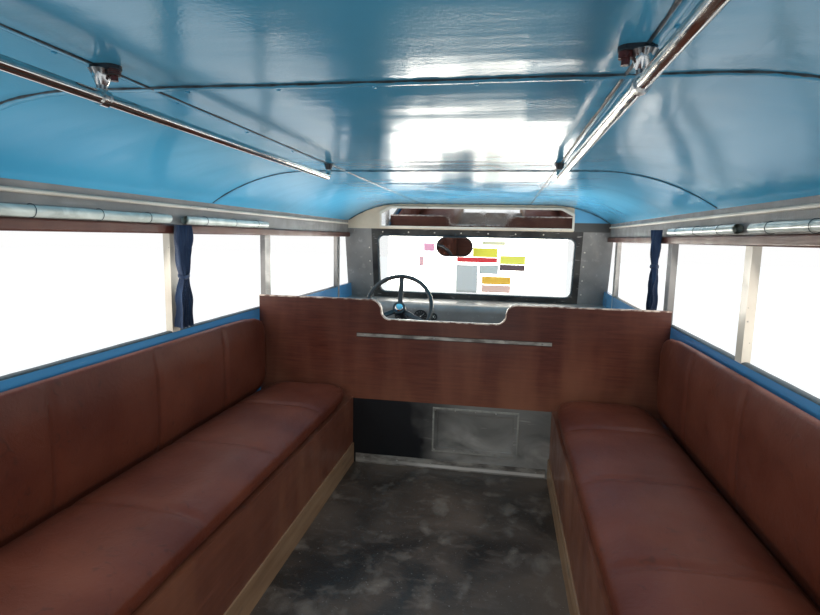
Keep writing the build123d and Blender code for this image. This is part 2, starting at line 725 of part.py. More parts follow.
def rail_posts():
    """Flared stems that hang each rail by a ring from a bolted plate under the ceiling."""
    z = CEILING - RAIL_DROP
    foot = CEILING - POST_PLATE_SHEET
    rim = (POST_FLARE_RADIUS, foot)
    waist = (POST_WAIST_RADIUS, foot - POST_FLARE_HEIGHT)
    profile = Curve() + [
        Line((0, foot), rim),
        RadiusArc(rim, waist, POST_FLARE_BEND),
        Line(waist, (POST_WAIST_RADIUS, z)),
        Line((POST_WAIST_RADIUS, z), (0, z)),
        Line((0, z), (0, foot)),
    ]
    stem = revolve(Plane.XZ * make_face(profile), axis=Axis.Z)
    post = Pos(RAIL_X, RAIL_POST_Y, 0) * stem
    plate = SlotOverall(POST_PLATE_OUTBOARD + POST_PLATE_INBOARD, POST_PLATE_WIDTH)
    middle = RAIL_X + (POST_PLATE_OUTBOARD - POST_PLATE_INBOARD) / 2
    post += Pos(middle, RAIL_POST_Y, foot) * extrude(plate, amount=POST_PLATE_SHEET)
    bolt_drop = POST_PAD_HEIGHT + POST_BOLT_LENGTH
    for radius, drop in ((POST_PAD_RADIUS, POST_PAD_HEIGHT), (POST_BOLT_RADIUS, bolt_drop)):
        post += Pos(RAIL_X - POST_BOLT_INBOARD, RAIL_POST_Y, foot - drop / 2) * Cylinder(radius, drop)
    at_ring = Pos(RAIL_X, RAIL_POST_Y, z) * Rot(90, 0, 0)
    post += at_ring * Cylinder(POST_RING_RADIUS, POST_RING_WIDTH)
    post -= at_ring * Cylinder(RAIL_RADIUS + POST_RING_GAP, 2 * POST_RING_WIDTH)
    return mirrored([post])


def benches():
    """Seat boards from the front boards to the walls."""
    x = BENCH_FRONT_X + BENCH_TOE_SPACE
    front = block(x, x + BENCH_BOARD, REAR_IN, PARTITION_Y, DECK, BENCH_TOP - BENCH_BOARD)
    top = block(x, HALF_IN, REAR_IN, PARTITION_Y, BENCH_TOP - BENCH_BOARD, BENCH_TOP)
    return mirrored([front + top])


def bench_plinths():
    """Kick boards along the foot of the bench fronts."""
    x = BENCH_FRONT_X + BENCH_TOE_SPACE
    low = FLOOR + SEAT_GAP
    board = block(x - PLINTH_BOARD, x, REAR_IN, PARTITION_Y - STRIP_SHEET, low, low + PLINTH_HEIGHT)
    return mirrored([board])


def bench_cushions():
    """One long cushion on each bench."""
    rear = REAR_IN + PAD_END_GAP
    front = PARTITION_Y - PAD_END_GAP
    cushion = soft_block(BENCH_FRONT_X, HALF_IN - BACKREST_DEPTH - 1, rear, front,
                         BENCH_TOP + SEAT_GAP, BENCH_TOP + BENCH_CUSHION, CUSHION_EDGE)
    return mirrored([cushion])


def bench_backrests():
    """One long backrest on each wall, up to the window sill."""
    back = soft_block(HALF_IN - BACKREST_DEPTH, HALF_IN - SEAT_GAP, REAR_IN + PAD_END_GAP,
                      PARTITION_Y - PAD_END_GAP, BENCH_TOP + SEAT_GAP, FLOOR + BACKREST_HEIGHT, CUSHION_EDGE)
    return mirrored([back])


def board_face():
    """Outline of the partition board in X and Z, its top edge scooped between four equal arcs."""
    low = FLOOR + LOWER_PANEL_HEIGHT
    scoop = FLOOR + SCOOP_HEIGHT
    top = FLOOR + BOARD_TOP_HEIGHT
    rise = (top - scoop) / 2
    edges = [
        Line((-HALF_IN, top), (-HALF_IN, low)),
        Line((-HALF_IN, low), (HALF_IN, low)),
        Line((HALF_IN, low), (HALF_IN, top)),
        Line((HALF_IN, top), (SCOOP_RIGHT_X + SCOOP_RUN, top)),
        Line((SCOOP_RIGHT_X, scoop), (SCOOP_LEFT_X, scoop)),
        Line((SCOOP_LEFT_X - SCOOP_RUN, top), (-HALF_IN, top)),
    ]
    for x, outward in ((SCOOP_RIGHT_X, 1), (SCOOP_LEFT_X, -1)):
        turn = (x + outward * SCOOP_RUN / 2, scoop + rise)
        edges.append(TangentArc((x, scoop), turn, tangent=(outward, 0)))
        edges.append(TangentArc((x + outward * SCOOP_RUN, top), turn, tangent=(-outward, 0)))
    return make_face(Curve() + edges)


def partition_board():
    """Board behind the cab seats, lower on the driver's side."""
    return [along_y(board_face(), PARTITION_Y, PARTITION_FRONT_Y)]


def partition_lower():
    """Steel panel under the board, with the raised frame of its hatch."""
    top = FLOOR + LOWER_PANEL_HEIGHT
    panel = block(-HALF_IN, HALF_IN, PARTITION_Y, PARTITION_Y + LOWER_PANEL_SHEET, DECK, top)
    frame = block(HATCH_LEFT_X, HATCH_RIGHT_X, PARTITION_Y - HATCH_PROUD, PARTITION_Y,
                  FLOOR + HATCH_LOW, FLOOR + HATCH_HIGH)
    frame -= block(HATCH_LEFT_X + HATCH_FRAME, HATCH_RIGHT_X - HATCH_FRAME,
                   PARTITION_Y - 2 * HATCH_PROUD, PARTITION_Y,
                   FLOOR + HATCH_LOW + HATCH_FRAME, FLOOR + HATCH_HIGH - HATCH_FRAME)
    return [panel + frame]


def partition_trim():
    """Aluminium strip across the board, kick strip at the floor and piping on the scooped edge."""
    half = BENCH_FRONT_X
    low = FLOOR + STRIP_HEIGHT - STRIP_WIDTH / 2
    strip = block(-half, half, PARTITION_Y - STRIP_SHEET, PARTITION_Y, low, low + STRIP_WIDTH)
    kick = block(-half, half, PARTITION_Y - STRIP_SHEET, PARTITION_Y, FLOOR, FLOOR + KICK_HEIGHT)
    board = board_face()
    rear = PARTITION_Y - PIPING_PROUD
    front = PARTITION_FRONT_Y + PIPING_PROUD
    piping = along_y(offset(board, PIPING) - board, rear, front)
    high = FLOOR + BOARD_TOP_HEIGHT + PIPING
    piping &= block(-HALF_IN, HALF_IN, rear, front, FLOOR + SCOOP_HEIGHT - PIPING, high)
    return [strip, kick, piping]


# Cab

def front_bulkhead():
    """Bulkhead at the front, drilled for the front clip's bolts."""
    plate = block(-HALF_OUT, HALF_OUT, FRONT_IN, FRONT_OUT, SKIRT_CLEARANCE, COWL)
    for x in (-CLIP_BOLT_SPACING_X / 2, CLIP_BOLT_SPACING_X / 2):
        for z in (CLIP_BOLT_HEIGHT - CLIP_BOLT_SPACING_Z / 2, CLIP_BOLT_HEIGHT + CLIP_BOLT_SPACING_Z / 2):
            at_hole = Pos(x, (FRONT_IN + FRONT_OUT) / 2, z) * Rot(90, 0, 0)
            plate -= at_hole * Cylinder(CLIP_BOLT_RADIUS, 2 * END_PANEL)
    return [plate]


def dashboard():
    """Bent dash plate: cowl top, rounded nose and face, open below."""
    foot = FLOOR + DASH_FOOT_HEIGHT
    foot_y = DASH_NOSE_Y + DASH_LEAN
    section = outline(
        (FRONT_IN, COWL), (DASH_NOSE_Y, COWL), (foot_y, foot), (foot_y + DASH_SHEET, foot),
        (DASH_NOSE_Y + DASH_SHEET, COWL - DASH_SHEET), (FRONT_IN, COWL - DASH_SHEET),
    )
    inner_radius = DASH_NOSE_RADIUS - DASH_SHEET
    for y, z, radius in ((0, COWL, DASH_NOSE_RADIUS), (DASH_SHEET, COWL - DASH_SHEET, inner_radius)):
        nose = section.vertices().sort_by_distance((DASH_NOSE_Y + y, z, 0))[0]
        section = fillet(nose, radius)
    return [along_x(section, -HALF_IN, HALF_IN)]


def instruments():
    """Round gauge housings on the dash face, each with its recessed dial."""
    tall = COWL - FLOOR - DASH_FOOT_HEIGHT
    share = GAUGE_DROP / tall
    housings = []
    for x, radius in GAUGES:
        face = Plane(origin=(WHEEL_X + x, DASH_NOSE_Y + share * DASH_LEAN, COWL - GAUGE_DROP),
                     x_dir=(1, 0, 0), z_dir=(0, -tall, -DASH_LEAN))
        dial = Pos(0, 0, GAUGE_PROUD - GAUGE_RECESS) * extrude(Circle(radius - GAUGE_RIM), amount=GAUGE_PROUD)
        housings.append(face * (extrude(Circle(radius), amount=GAUGE_PROUD) - dial))
    return housings


def rounded_opening(width, z0, z1, corner):
    """A rounded rectangle in X and Z, centred on the body."""
    return Pos(0, (z0 + z1) / 2) * RectangleRounded(width, z1 - z0, corner)


def windscreen_frame():
    """Raked frame that stands on the cowl under the front header."""
    half = WINDSCREEN_WIDTH / 2
    slab = along_x(raked_slab(WINDSCREEN_DEPTH, COWL, WINDSCREEN_TOP), -half, half)
    width = WINDSCREEN_WIDTH - 2 * WINDSCREEN_BAND
    hole = rounded_opening(width, FLOOR + GLASS_FOOT_HEIGHT, FLOOR + GLASS_TOP_HEIGHT, GLASS_CORNER)
    return [slab - along_y(hole, DASH_NOSE_Y, FRONT_OUT)]


def windscreen_glass():
    """Flat pane seated in the frame."""
    width = WINDSCREEN_WIDTH - 2 * WINDSCREEN_BAND
    z0 = FLOOR + GLASS_FOOT_HEIGHT
    z1 = FLOOR + GLASS_TOP_HEIGHT
    slab = along_x(raked_slab(GLASS_SHEET, COWL, WINDSCREEN_TOP), -width / 2, width / 2)
    pane = rounded_opening(width - 2 * SEAT_GAP, z0 + SEAT_GAP, z1 - SEAT_GAP, GLASS_CORNER - SEAT_GAP)
    return [slab & along_y(pane, DASH_NOSE_Y, FRONT_OUT)]


def corner_panels():
    """Panels that close the front between the windscreen and the side walls."""
    section = raked_slab(WINDSCREEN_DEPTH, COWL, WINDSCREEN_TOP)
    return mirrored([along_x(section, WINDSCREEN_WIDTH / 2, HALF_IN)])


def wide_mirror_outline(inset):
    """Outline of the wide mirror in X and Z: level edges and cut upper corners."""
    half = WIDE_MIRROR_WIDTH / 2 - inset
    low = FLOOR + WIDE_MIRROR_LOW + inset
    high = FLOOR + WIDE_MIRROR_HIGH - inset
    cut = WIDE_MIRROR_CUT
    drop = cut / 2
    return outline((-half, low), (half, low), (half, high - drop), (half - cut, high),
                   (-half + cut, high), (-half, high - drop))


def panoramic_mirror():
    """Framed tray of the wide mirror on the front header."""
    back = header_rear_y() - SEAT_GAP
    tray = along_y(wide_mirror_outline(0), back - WIDE_MIRROR_DEPTH, back)
    front = back - WIDE_MIRROR_DEPTH
    recess = along_y(wide_mirror_outline(WIDE_MIRROR_FRAME), front, front + WIDE_MIRROR_RECESS)
    return [tray - recess]


def oval_mirror_y():
    """Rear face of the oval mirror, in front of the windscreen's inner face."""
    return windscreen_y(OVAL_MIRROR_Z) - WINDSCREEN_DEPTH / 2 - OVAL_MIRROR_REACH - OVAL_MIRROR_DEPTH


def oval_slot(inset):
    """Outline of the oval mirror in X and Z."""
    width = OVAL_MIRROR_WIDTH - 2 * inset
    return Pos(OVAL_MIRROR_X, OVAL_MIRROR_Z) * SlotOverall(width, OVAL_MIRROR_TALL - 2 * inset)


def oval_mirror():
    """Oval driver's mirror on a stem and foot at the windscreen's top band."""
    rear = oval_mirror_y()
    front = rear + OVAL_MIRROR_DEPTH
    foot_z = (FLOOR + GLASS_TOP_HEIGHT + WINDSCREEN_TOP) / 2
    shell = along_y(oval_slot(0), rear, front)
    shell = fillet(shell.faces().sort_by(Axis.Y)[-1].edges(), OVAL_MIRROR_DEPTH * 0.6)
    shell -= along_y(oval_slot(OVAL_MIRROR_RIM), rear - 1, rear + MIRROR_GLASS)
    face_y = windscreen_y(foot_z) - WINDSCREEN_DEPTH / 2 / cos(radians(WINDSCREEN_RAKE))
    stem_foot = Vector(OVAL_MIRROR_X, face_y, foot_z)
    stem_top = Vector(OVAL_MIRROR_X, front - OVAL_MIRROR_DEPTH / 4, OVAL_MIRROR_Z + OVAL_STEM_RISE)
    run = stem_foot - stem_top
    stem = Plane(origin=stem_top, z_dir=run) * extrude(Circle(OVAL_STEM_RADIUS), amount=run.length)
    half_tall = OVAL_FOOT_TALL / 2
    half_wide = OVAL_FOOT_WIDTH / 2
    section = raked_slab(WINDSCREEN_DEPTH + 2 * OVAL_FOOT_SHEET, foot_z - half_tall, foot_z + half_tall)
    pad = along_x(section, OVAL_MIRROR_X - half_wide, OVAL_MIRROR_X + half_wide)
    bracket = stem + pad - along_x(raked_slab(WINDSCREEN_DEPTH, COWL, WINDSCREEN_TOP), -HALF_IN, HALF_IN)
    return [shell + bracket.solids().sort_by(Axis.Y)[0]]


def mirror_glasses():
    """Reflecting plates of the wide and the oval mirror."""
    back = header_rear_y() - SEAT_GAP - WIDE_MIRROR_DEPTH + WIDE_MIRROR_RECESS
    wide = along_y(wide_mirror_outline(WIDE_MIRROR_FRAME + SEAT_GAP), back - MIRROR_GLASS, back)
    rear = oval_mirror_y()
    oval = along_y(oval_slot(OVAL_MIRROR_RIM + MIRROR_EDGE_GAP), rear, rear + MIRROR_GLASS)
    return [wide, oval]


# Steering and pedals

def steering_plane():
    """Plane of the steering wheel's rim, its normal up the column to the driver."""
    tilt = radians(STEERING_TILT)
    middle = (WHEEL_X, WHEEL_Y, FLOOR + WHEEL_HEIGHT)
    return Plane(origin=middle, x_dir=(1, 0, 0), z_dir=(0, -cos(tilt), sin(tilt)))


def steering_wheel():
    """Round rim on three dished spokes and a hub with the shaft's bore."""
    rim = Torus(STEERING_RADIUS, STEERING_RIM)
    hub = Pos(0, 0, -STEERING_DISH) * Cylinder(HUB_RADIUS, HUB_LENGTH)
    wheel = rim + hub
    reach = STEERING_RADIUS - HUB_RADIUS * 0.8
    section = SlotOverall(SPOKE_WIDTH, SPOKE_THICK).rotate(Axis.Z, 90)
    outward = Pos(HUB_RADIUS * 0.8, 0, -STEERING_DISH) * Rot(0, 90 - SPOKE_RISE, 0)
    for turn in (90, 210, 330):
        wheel += Rot(0, 0, turn) * outward * extrude(section, amount=reach)
    bore = Cylinder(SHAFT_RADIUS + SHAFT_CLEARANCE, 2 * SHAFT_LENGTH)
    wheel -= Pos(0, 0, -STEERING_DISH - HUB_LENGTH / 2) * bore
    return [steering_plane() * wheel]


def steering_column():
    """Column from the bulkhead to the hub, with its shaft end and its clamp on the dash."""
    top = -STEERING_DISH - HUB_LENGTH / 2 - COLUMN_GAP
    run = (FRONT_IN - WHEEL_Y) / cos(radians(STEERING_TILT)) + STEERING_DISH
    column = Pos(0, 0, top) * extrude(Circle(COLUMN_RADIUS), amount=-run)
    reach = COLUMN_RADIUS + SHAFT_LENGTH
    shaft = Pos(0, 0, top - COLUMN_RADIUS) * extrude(Circle(SHAFT_RADIUS), amount=reach)
    assembly = steering_plane() * (column + shaft)
    assembly &= block(-HALF_IN, HALF_IN, PARTITION_FRONT_Y, FRONT_IN, FLOOR, CEILING)
    hanger_y = DASH_NOSE_Y + DASH_LEAN + DASH_SHEET / 2
    column_z = FLOOR + WHEEL_HEIGHT - (hanger_y + HANGER_LENGTH / 2 - WHEEL_Y) * tan(radians(STEERING_TILT))
    hanger = block(WHEEL_X - HANGER_WIDTH / 2, WHEEL_X + HANGER_WIDTH / 2, hanger_y, hanger_y + HANGER_LENGTH,
                   column_z, FLOOR + DASH_FOOT_HEIGHT)
    return [assembly + hanger]


def pedals():
    """Clutch, brake and accelerator on arms that hang from one bracket on the bulkhead."""
    pivot = Vector(0, FRONT_IN - PEDAL_PIVOT_SETBACK, FLOOR + PEDAL_PIVOT_HEIGHT)
    pad = Vector(0, FRONT_IN - PEDAL_PAD_SETBACK, FLOOR + PEDAL_PAD_HEIGHT)
    hang = pad - pivot
    places = [WHEEL_X + x for x, width, tall in PEDALS]
    end = 2 * PEDAL_ARM_RADIUS
    group = along_x(Pos(pivot.Y, pivot.Z) * Circle(PEDAL_TUBE_RADIUS), places[0] - end, places[-1] + end)
    for x in (places[0] - end, places[-1] + end):
        cheek = block(x - PEDAL_BRACKET_SHEET / 2, x + PEDAL_BRACKET_SHEET / 2, pivot.Y - end, FRONT_IN,
                      pivot.Z - end, pivot.Z + end)
        group += cheek
    for x, (_, width, tall) in zip(places, PEDALS):
        across = Vector(x, 0, 0)
        arm = Plane(origin=pivot + across, z_dir=hang) * extrude(Circle(PEDAL_ARM_RADIUS), amount=hang.length)
        facing = Plane(origin=pad + across, x_dir=(1, 0, 0), z_dir=(0, hang.Z, -hang.Y))
        group += arm + facing * extrude(RectangleRounded(width, tall, width / 6), amount=PEDAL_PAD_SHEET)
    return [group]


def seat_boxes():
    """Sheet boxes under the cab seats, open below."""
    y0 = PARTITION_FRONT_Y + SEAT_GAP
    y1 = y0 + SEAT_BOX_LENGTH
    top = FLOOR + SEAT_BOX_HEIGHT
    boxes = []
    for middle, width in CAB_SEATS.values():
        half = width / 2
        inner = half - SEAT_BOX_SHEET
        box = block(middle - half, middle + half, y0, y1, DECK, top)
        box -= block(middle - inner, middle + inner, y0 + SEAT_BOX_SHEET, y1 - SEAT_BOX_SHEET,
                     DECK - 1, top - SEAT_BOX_SHEET)
        boxes.append(box)
    return boxes


def cab_seat(middle, width):
    """Backrest and cushion of one cab seat."""
    x0 = middle - width / 2
    x1 = middle + width / 2
    foot = FLOOR + SEAT_BOX_HEIGHT + SEAT_GAP
    back_y = PARTITION_FRONT_Y + 2 * SEAT_GAP
    back = soft_block(x0, x1, back_y, back_y + CAB_BACK_DEPTH, foot, FLOOR + CAB_BACK_HEIGHT, CUSHION_EDGE)
    cushion_y = back_y + CAB_BACK_DEPTH + 2 * SEAT_GAP
    front_y = PARTITION_FRONT_Y + SEAT_BOX_LENGTH + CAB_CUSHION_NOSE
    cushion = soft_block(x0, x1, cushion_y, front_y, foot, foot + CAB_CUSHION, CUSHION_EDGE)
    return [back, cushion]


def gearbox_tunnel():
    """Folded cover over the gearbox along the middle of the cab floor."""
    foot = TUNNEL_FOOT_WIDTH / 2
    top = TUNNEL_TOP_WIDTH / 2
    high = DECK + TUNNEL_HEIGHT
    section = outline((-foot, DECK), (-top, high), (top, high), (foot, DECK), (foot - TUNNEL_SHEET, DECK),
                      (top - TUNNEL_SHEET, high - TUNNEL_SHEET), (-top + TUNNEL_SHEET, high - TUNNEL_SHEET),
                      (-foot + TUNNEL_SHEET, DECK))
    return [along_y(section, PARTITION_FRONT_Y, FRONT_IN)]


def gear_lever():
    """Lever with its boot and knob on the tunnel."""
    high = DECK + TUNNEL_HEIGHT
    boot = Pos(0, LEVER_Y, high + BOOT_HEIGHT / 2) * Cone(BOOT_RADIUS, 2 * LEVER_RADIUS, BOOT_HEIGHT)
    lean = radians(LEVER_LEAN)
    foot = (0, LEVER_Y, high + BOOT_HEIGHT / 2)
    leaning = Plane(origin=foot, x_dir=(1, 0, 0), z_dir=(0, -sin(lean), cos(lean)))
    rod = leaning * extrude(Circle(LEVER_RADIUS), amount=LEVER_LENGTH)
    knob = leaning * Pos(0, 0, LEVER_LENGTH) * Sphere(KNOB_RADIUS)
    return [boot + rod + knob]


# Doors

def hinge_x():
    """Distance of the hinge pins from the middle of the body."""
    return HALF_OUT + HINGE_PROUD


def cab_door():
    """Half door with its hinge leaves, knuckles and pull handle, on the right-hand side."""
    low = DECK + DOOR_GAP
    y0 = DOOR_OPEN_REAR + DOOR_GAP
    y1 = DOOR_OPEN_FRONT - DOOR_HINGE_GAP
    door = block(HALF_OUT - DOOR_DEPTH, HALF_OUT, y0, y1, low, SILL)
    door = fillet(door.edges().filter_by(Axis.X).sort_by(Axis.Z)[:2], DOOR_CORNER)
    inner = HALF_OUT - DOOR_DEPTH
    pocket = block(inner - 1, inner + DOOR_POCKET_DEPTH, y0 + DOOR_POCKET_SIDE, y1 - DOOR_POCKET_SIDE,
                   low + DOOR_POCKET_END, SILL - DOOR_POCKET_END)
    door -= fillet(pocket.edges().filter_by(Axis.X), DOOR_POCKET_CORNER)
    for z in BEAD_HEIGHTS:
        door += outside_bead(y0 + DOOR_CORNER, y1 - DOOR_CORNER, z)
    root_x = HALF_OUT - GRIP_ROOT
    grip_x = HALF_OUT + GRIP_REACH
    grip_y = y0 + GRIP_SETBACK
    grip_z = SILL - GRIP_DROP
    grip_end = grip_y + GRIP_LENGTH
    path = FilletPolyline((root_x, grip_y, grip_z), (grip_x, grip_y, grip_z),
                          (grip_x, grip_end, grip_z), (root_x, grip_end, grip_z), radius=GRIP_BEND)
    door += sweep(Plane(origin=path @ 0, z_dir=path % 0) * Circle(GRIP_RADIUS), path=path)
    for height in HINGE_HEIGHTS:
        z = FLOOR + height
        door += Pos(hinge_x(), DOOR_OPEN_FRONT, z) * Cylinder(HINGE_RADIUS, 2 * KNUCKLE_HALF)
        door += block(HALF_OUT, HALF_OUT + LEAF_SHEET, DOOR_OPEN_FRONT - LEAF_LENGTH, DOOR_OPEN_FRONT,
                      z - KNUCKLE_HALF, z + KNUCKLE_HALF)
        door -= Pos(hinge_x(), DOOR_OPEN_FRONT, z) * Cylinder(PIN_RADIUS + PIN_CLEARANCE, 3 * KNUCKLE_HALF)
    return door


def door_hinges():
    """Leaves, knuckles and pins on the front door posts."""
    hinges = []
    for height in HINGE_HEIGHTS:
        z = FLOOR + height
        gap = KNUCKLE_HALF + SEAT_GAP
        leaf = block(HALF_OUT, HALF_OUT + LEAF_SHEET, DOOR_OPEN_FRONT, DOOR_OPEN_FRONT + LEAF_LENGTH,
                     z - HINGE_HALF, z + HINGE_HALF)
        barrel = Pos(hinge_x(), DOOR_OPEN_FRONT, z) * Cylinder(HINGE_RADIUS, 2 * HINGE_HALF)
        hinge = leaf + barrel
        hinge -= block(HALF_OUT, hinge_x() + HINGE_RADIUS, DOOR_OPEN_FRONT - 2 * HINGE_RADIUS,
                       DOOR_OPEN_FRONT + HINGE_RADIUS + 2, z - gap, z + gap)
        hinge += Pos(hinge_x(), DOOR_OPEN_FRONT, z) * Cylinder(PIN_RADIUS, 2 * HINGE_HALF)
        hinges.append(hinge)
    return mirrored(hinges)


# Trim

def entry_handles():
    """Upright tube handles on the doorway jambs."""
    x = DOORWAY_WIDTH / 2 + JAMB_WIDTH / 2
    y = REAR_OUT - HANDLE_REACH + HANDLE_RADIUS
    low = SILL + HANDLE_SETBACK
    high = HEADER_FOOT - 2 * HANDLE_SETBACK
    corners = ((x, REAR_OUT, low), (x, y, low), (x, y, high), (x, REAR_OUT, high))
    path = FilletPolyline(*corners, radius=HANDLE_BEND)
    start = Plane(origin=path @ 0, z_dir=path % 0)
    return mirrored([sweep(start * Circle(HANDLE_RADIUS), path=path)])


def tied_curtains():
    """Gathered curtains tied beside the right door post and a left pillar."""
    outer = HALF_IN - HEAD_DEPTH - SEAT_GAP
    inner = outer - CURTAIN_THICK
    low = SILL + CURTAIN_FOOT_GAP
    right_y = DOOR_OPEN_REAR + RIGHT_CURTAIN_TO_DOOR
    left_y = PARTITION_PILLAR_Y - PILLAR_PITCH - CURTAIN_WIDTH / 2
    right = soft_block(inner, outer, right_y, right_y + CURTAIN_WIDTH, low,
                       WINDOW_TOP + RIGHT_CURTAIN_HEAD, CUSHION_EDGE)
    left = soft_block(-outer, -inner, left_y, left_y + CURTAIN_WIDTH, low,
                      WINDOW_TOP + LEFT_CURTAIN_HEAD, CUSHION_EDGE)
    return [right, left]


def rolled_curtains():
    """Clear rain curtains rolled up above each window head."""
    radius = ROLL_DIAMETER / 2
    x = HALF_IN - SEAT_GAP - radius
    z = FLOOR + HEAD_LOW_HEIGHT + HEAD_TALL + SEAT_GAP + radius
    rolls = []
    for bay in range(WINDOW_BAYS):
        y = PARTITION_PILLAR_Y - (bay + 0.5) * PILLAR_PITCH
        rolls.append(Pos(x, y, z) * Rot(90, 0, 0) * Cylinder(radius, PILLAR_PITCH - 2 * ROLL_END_GAP))
    return mirrored(rolls)


right_door, left_door = mirrored([cab_door()])
PARTS = {
    "underframe_runners": underframe_runners(),
    "floor_bearers": floor_bearers(),
    "floor_panel": floor_panel(),
    "floor_mat": floor_mat(),
    "rear_step": rear_step(),
    "wheel_boxes": wheel_boxes(),
    "side_panels": side_panels(),
    "arch_panels": arch_panels(),
    "window_pillars": window_pillars(),
    "cab_posts": cab_posts(),
    "cant_rails": cant_rails(),
    "window_heads": window_heads(),
    "ceiling_mouldings": ceiling_mouldings(),
    "rear_panels": rear_panels(),
    "roof_centre": roof_centre(),
    "roof_shoulders": roof_shoulders(),
    "ceiling_centre": ceiling_centre(),
    "ceiling_sides": ceiling_sides(),
    "front_header": front_header(),
    "rear_header": rear_header(),
    "grab_rails": grab_rails(),
    "rail_posts": rail_posts(),
    "benches": benches(),
    "bench_plinths": bench_plinths(),
    "bench_cushions": bench_cushions(),
    "bench_backrests": bench_backrests(),
    "partition_board": partition_board(),
    "partition_lower": partition_lower(),
    "partition_trim": partition_trim(),
    "front_bulkhead": front_bulkhead(),
    "dashboard": dashboard(),
    "instruments": instruments(),
    "windscreen_frame": windscreen_frame(),
    "windscreen_glass": windscreen_glass(),
    "corner_panels": corner_panels(),
    "panoramic_mirror": panoramic_mirror(),
    "oval_mirror": oval_mirror(),
    "mirror_glasses": mirror_glasses(),
    "steering_column": steering_column(),
    "steering_wheel": steering_wheel(),
    "pedals": pedals(),
    "seat_boxes": seat_boxes(),
    "driver_seat": cab_seat(*CAB_SEATS["driver_seat"]),
    "passenger_seat": cab_seat(*CAB_SEATS["passenger_seat"]),
    "gearbox_tunnel": gearbox_tunnel(),
    "gear_lever": gear_lever(),
    "cab_door_left": [left_door],
    "cab_door_right": [right_door],
    "door_hinges": door_hinges(),
    "entry_handles": entry_handles(),
    "tied_curtains": tied_curtains(),
    "rolled_curtains": rolled_curtains(),
}

os.makedirs("parts", exist_ok=True)
for name, pieces in PARTS.items():
    solids = [solid for piece in pieces for solid in piece.solids()]
    export_step(Compound(solids), f"parts/{name}.step")
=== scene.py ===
"""Looks of the share taxi cabin body: finishes, padded seats, curtains, seams and small fittings.

Metres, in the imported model's frame: +Y forward, +X to the right of the driver, +Z up.
"""

import bpy
import json
import numpy as np
from math import cos, pi, radians, sin, tan
from mathutils import Matrix, Vector


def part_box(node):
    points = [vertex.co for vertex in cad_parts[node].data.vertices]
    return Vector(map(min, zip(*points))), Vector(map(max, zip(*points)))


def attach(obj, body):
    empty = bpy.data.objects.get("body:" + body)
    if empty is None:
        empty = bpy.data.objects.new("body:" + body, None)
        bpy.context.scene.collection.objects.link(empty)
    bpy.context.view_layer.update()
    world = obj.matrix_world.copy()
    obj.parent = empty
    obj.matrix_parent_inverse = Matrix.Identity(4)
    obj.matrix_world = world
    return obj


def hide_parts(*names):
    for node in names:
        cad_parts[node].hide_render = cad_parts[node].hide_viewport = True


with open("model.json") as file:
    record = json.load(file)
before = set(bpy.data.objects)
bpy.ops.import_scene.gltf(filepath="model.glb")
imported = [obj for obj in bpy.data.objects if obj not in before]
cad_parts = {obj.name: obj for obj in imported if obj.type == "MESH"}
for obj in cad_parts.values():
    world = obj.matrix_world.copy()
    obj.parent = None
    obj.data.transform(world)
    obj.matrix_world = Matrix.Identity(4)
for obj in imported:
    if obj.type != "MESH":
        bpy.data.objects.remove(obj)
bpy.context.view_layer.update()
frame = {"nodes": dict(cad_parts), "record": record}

# Levels and stations of the body
FLOOR = 0.110
BENCH_TOP = 0.430
SILL = 0.830
WINDOW_TOP = 1.200
CEILING_EDGE = 1.295
CEILING = 1.420
CEILING_SHEET_Z = CEILING - 0.0002
HALF_IN = 0.920
HALF_OUT = 0.945
FLAT_HALF = 0.520
CROWN_RADIUS = 0.7025
CROWN_Z = CEILING - CROWN_RADIUS
ROOF_DEPTH = 0.030
REAR_IN = -2.260
REAR_OUT = -2.290
HEADER_Y = 2.180
LONG_SEAM_X = 0.380
CROSS_SEAM_Y = (0.295, -0.835, -1.965)
RAIL_X = 0.378
RAIL_POST_Y = -0.950
RAIL_FOOT_LOW = 1.400
POST_PLATE_LOW = 1.415
POST_BOLT_X = RAIL_X - 0.021
RAIL_ENDS_Y = (-2.150, 0.100)
PARTITION_Y = 0.700
HATCH_LEFT, HATCH_RIGHT = -0.075, 0.315
HATCH_LOW, HATCH_HIGH = 0.196, 0.407
SCREEN_FOOT_Y = 2.300
SCREEN_FOOT_Z = 0.760
SCREEN_RAKE = radians(12.4)
WHEEL_MIDDLE = np.array([-0.400, 1.500, 0.760])
WHEEL_TILT = radians(27.0)
WINDOW_PITCH = 0.765
FIRST_BAY_Y = 0.4175

# Camera: the photographer sits at the rear of the right bench and looks forward
EYE = (0.2185, -1.6927, 1.1797)
TURN_LEFT = radians(9.744)
LOOK_DOWN = radians(7.401)
ROLL = radians(1.213)
LENS = 23.71


# Meshes from arrays

def grid_faces(rows, columns, wrap=False):
    """Quads between neighbouring rows and columns of a grid; wrap joins the last column to the first."""
    i = np.arange(rows - 1)[:, None]
    j = np.arange(columns if wrap else columns - 1)[None, :]
    k = (j + 1) % columns
    quads = np.stack([i * columns + j, i * columns + k, (i + 1) * columns + k, (i + 1) * columns + j], axis=-1)
    return quads.reshape(-1, 4).tolist()


def piece(name, shape, finish, body="cabin", smooth=True):
    """A mesh from (points, faces) in its finish, riding on a body."""
    points, faces = shape
    mesh = bpy.data.meshes.new(name)
    mesh.from_pydata(np.asarray(points, dtype=float).reshape(-1, 3).tolist(), [], faces)
    mesh.validate()
    mesh.polygons.foreach_set("use_smooth", np.full(len(mesh.polygons), smooth))
    mesh.update()
    obj = bpy.data.objects.new(name, mesh)
    bpy.context.scene.collection.objects.link(obj)
    obj.data.materials.append(finish)
    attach(obj, body)
    return obj


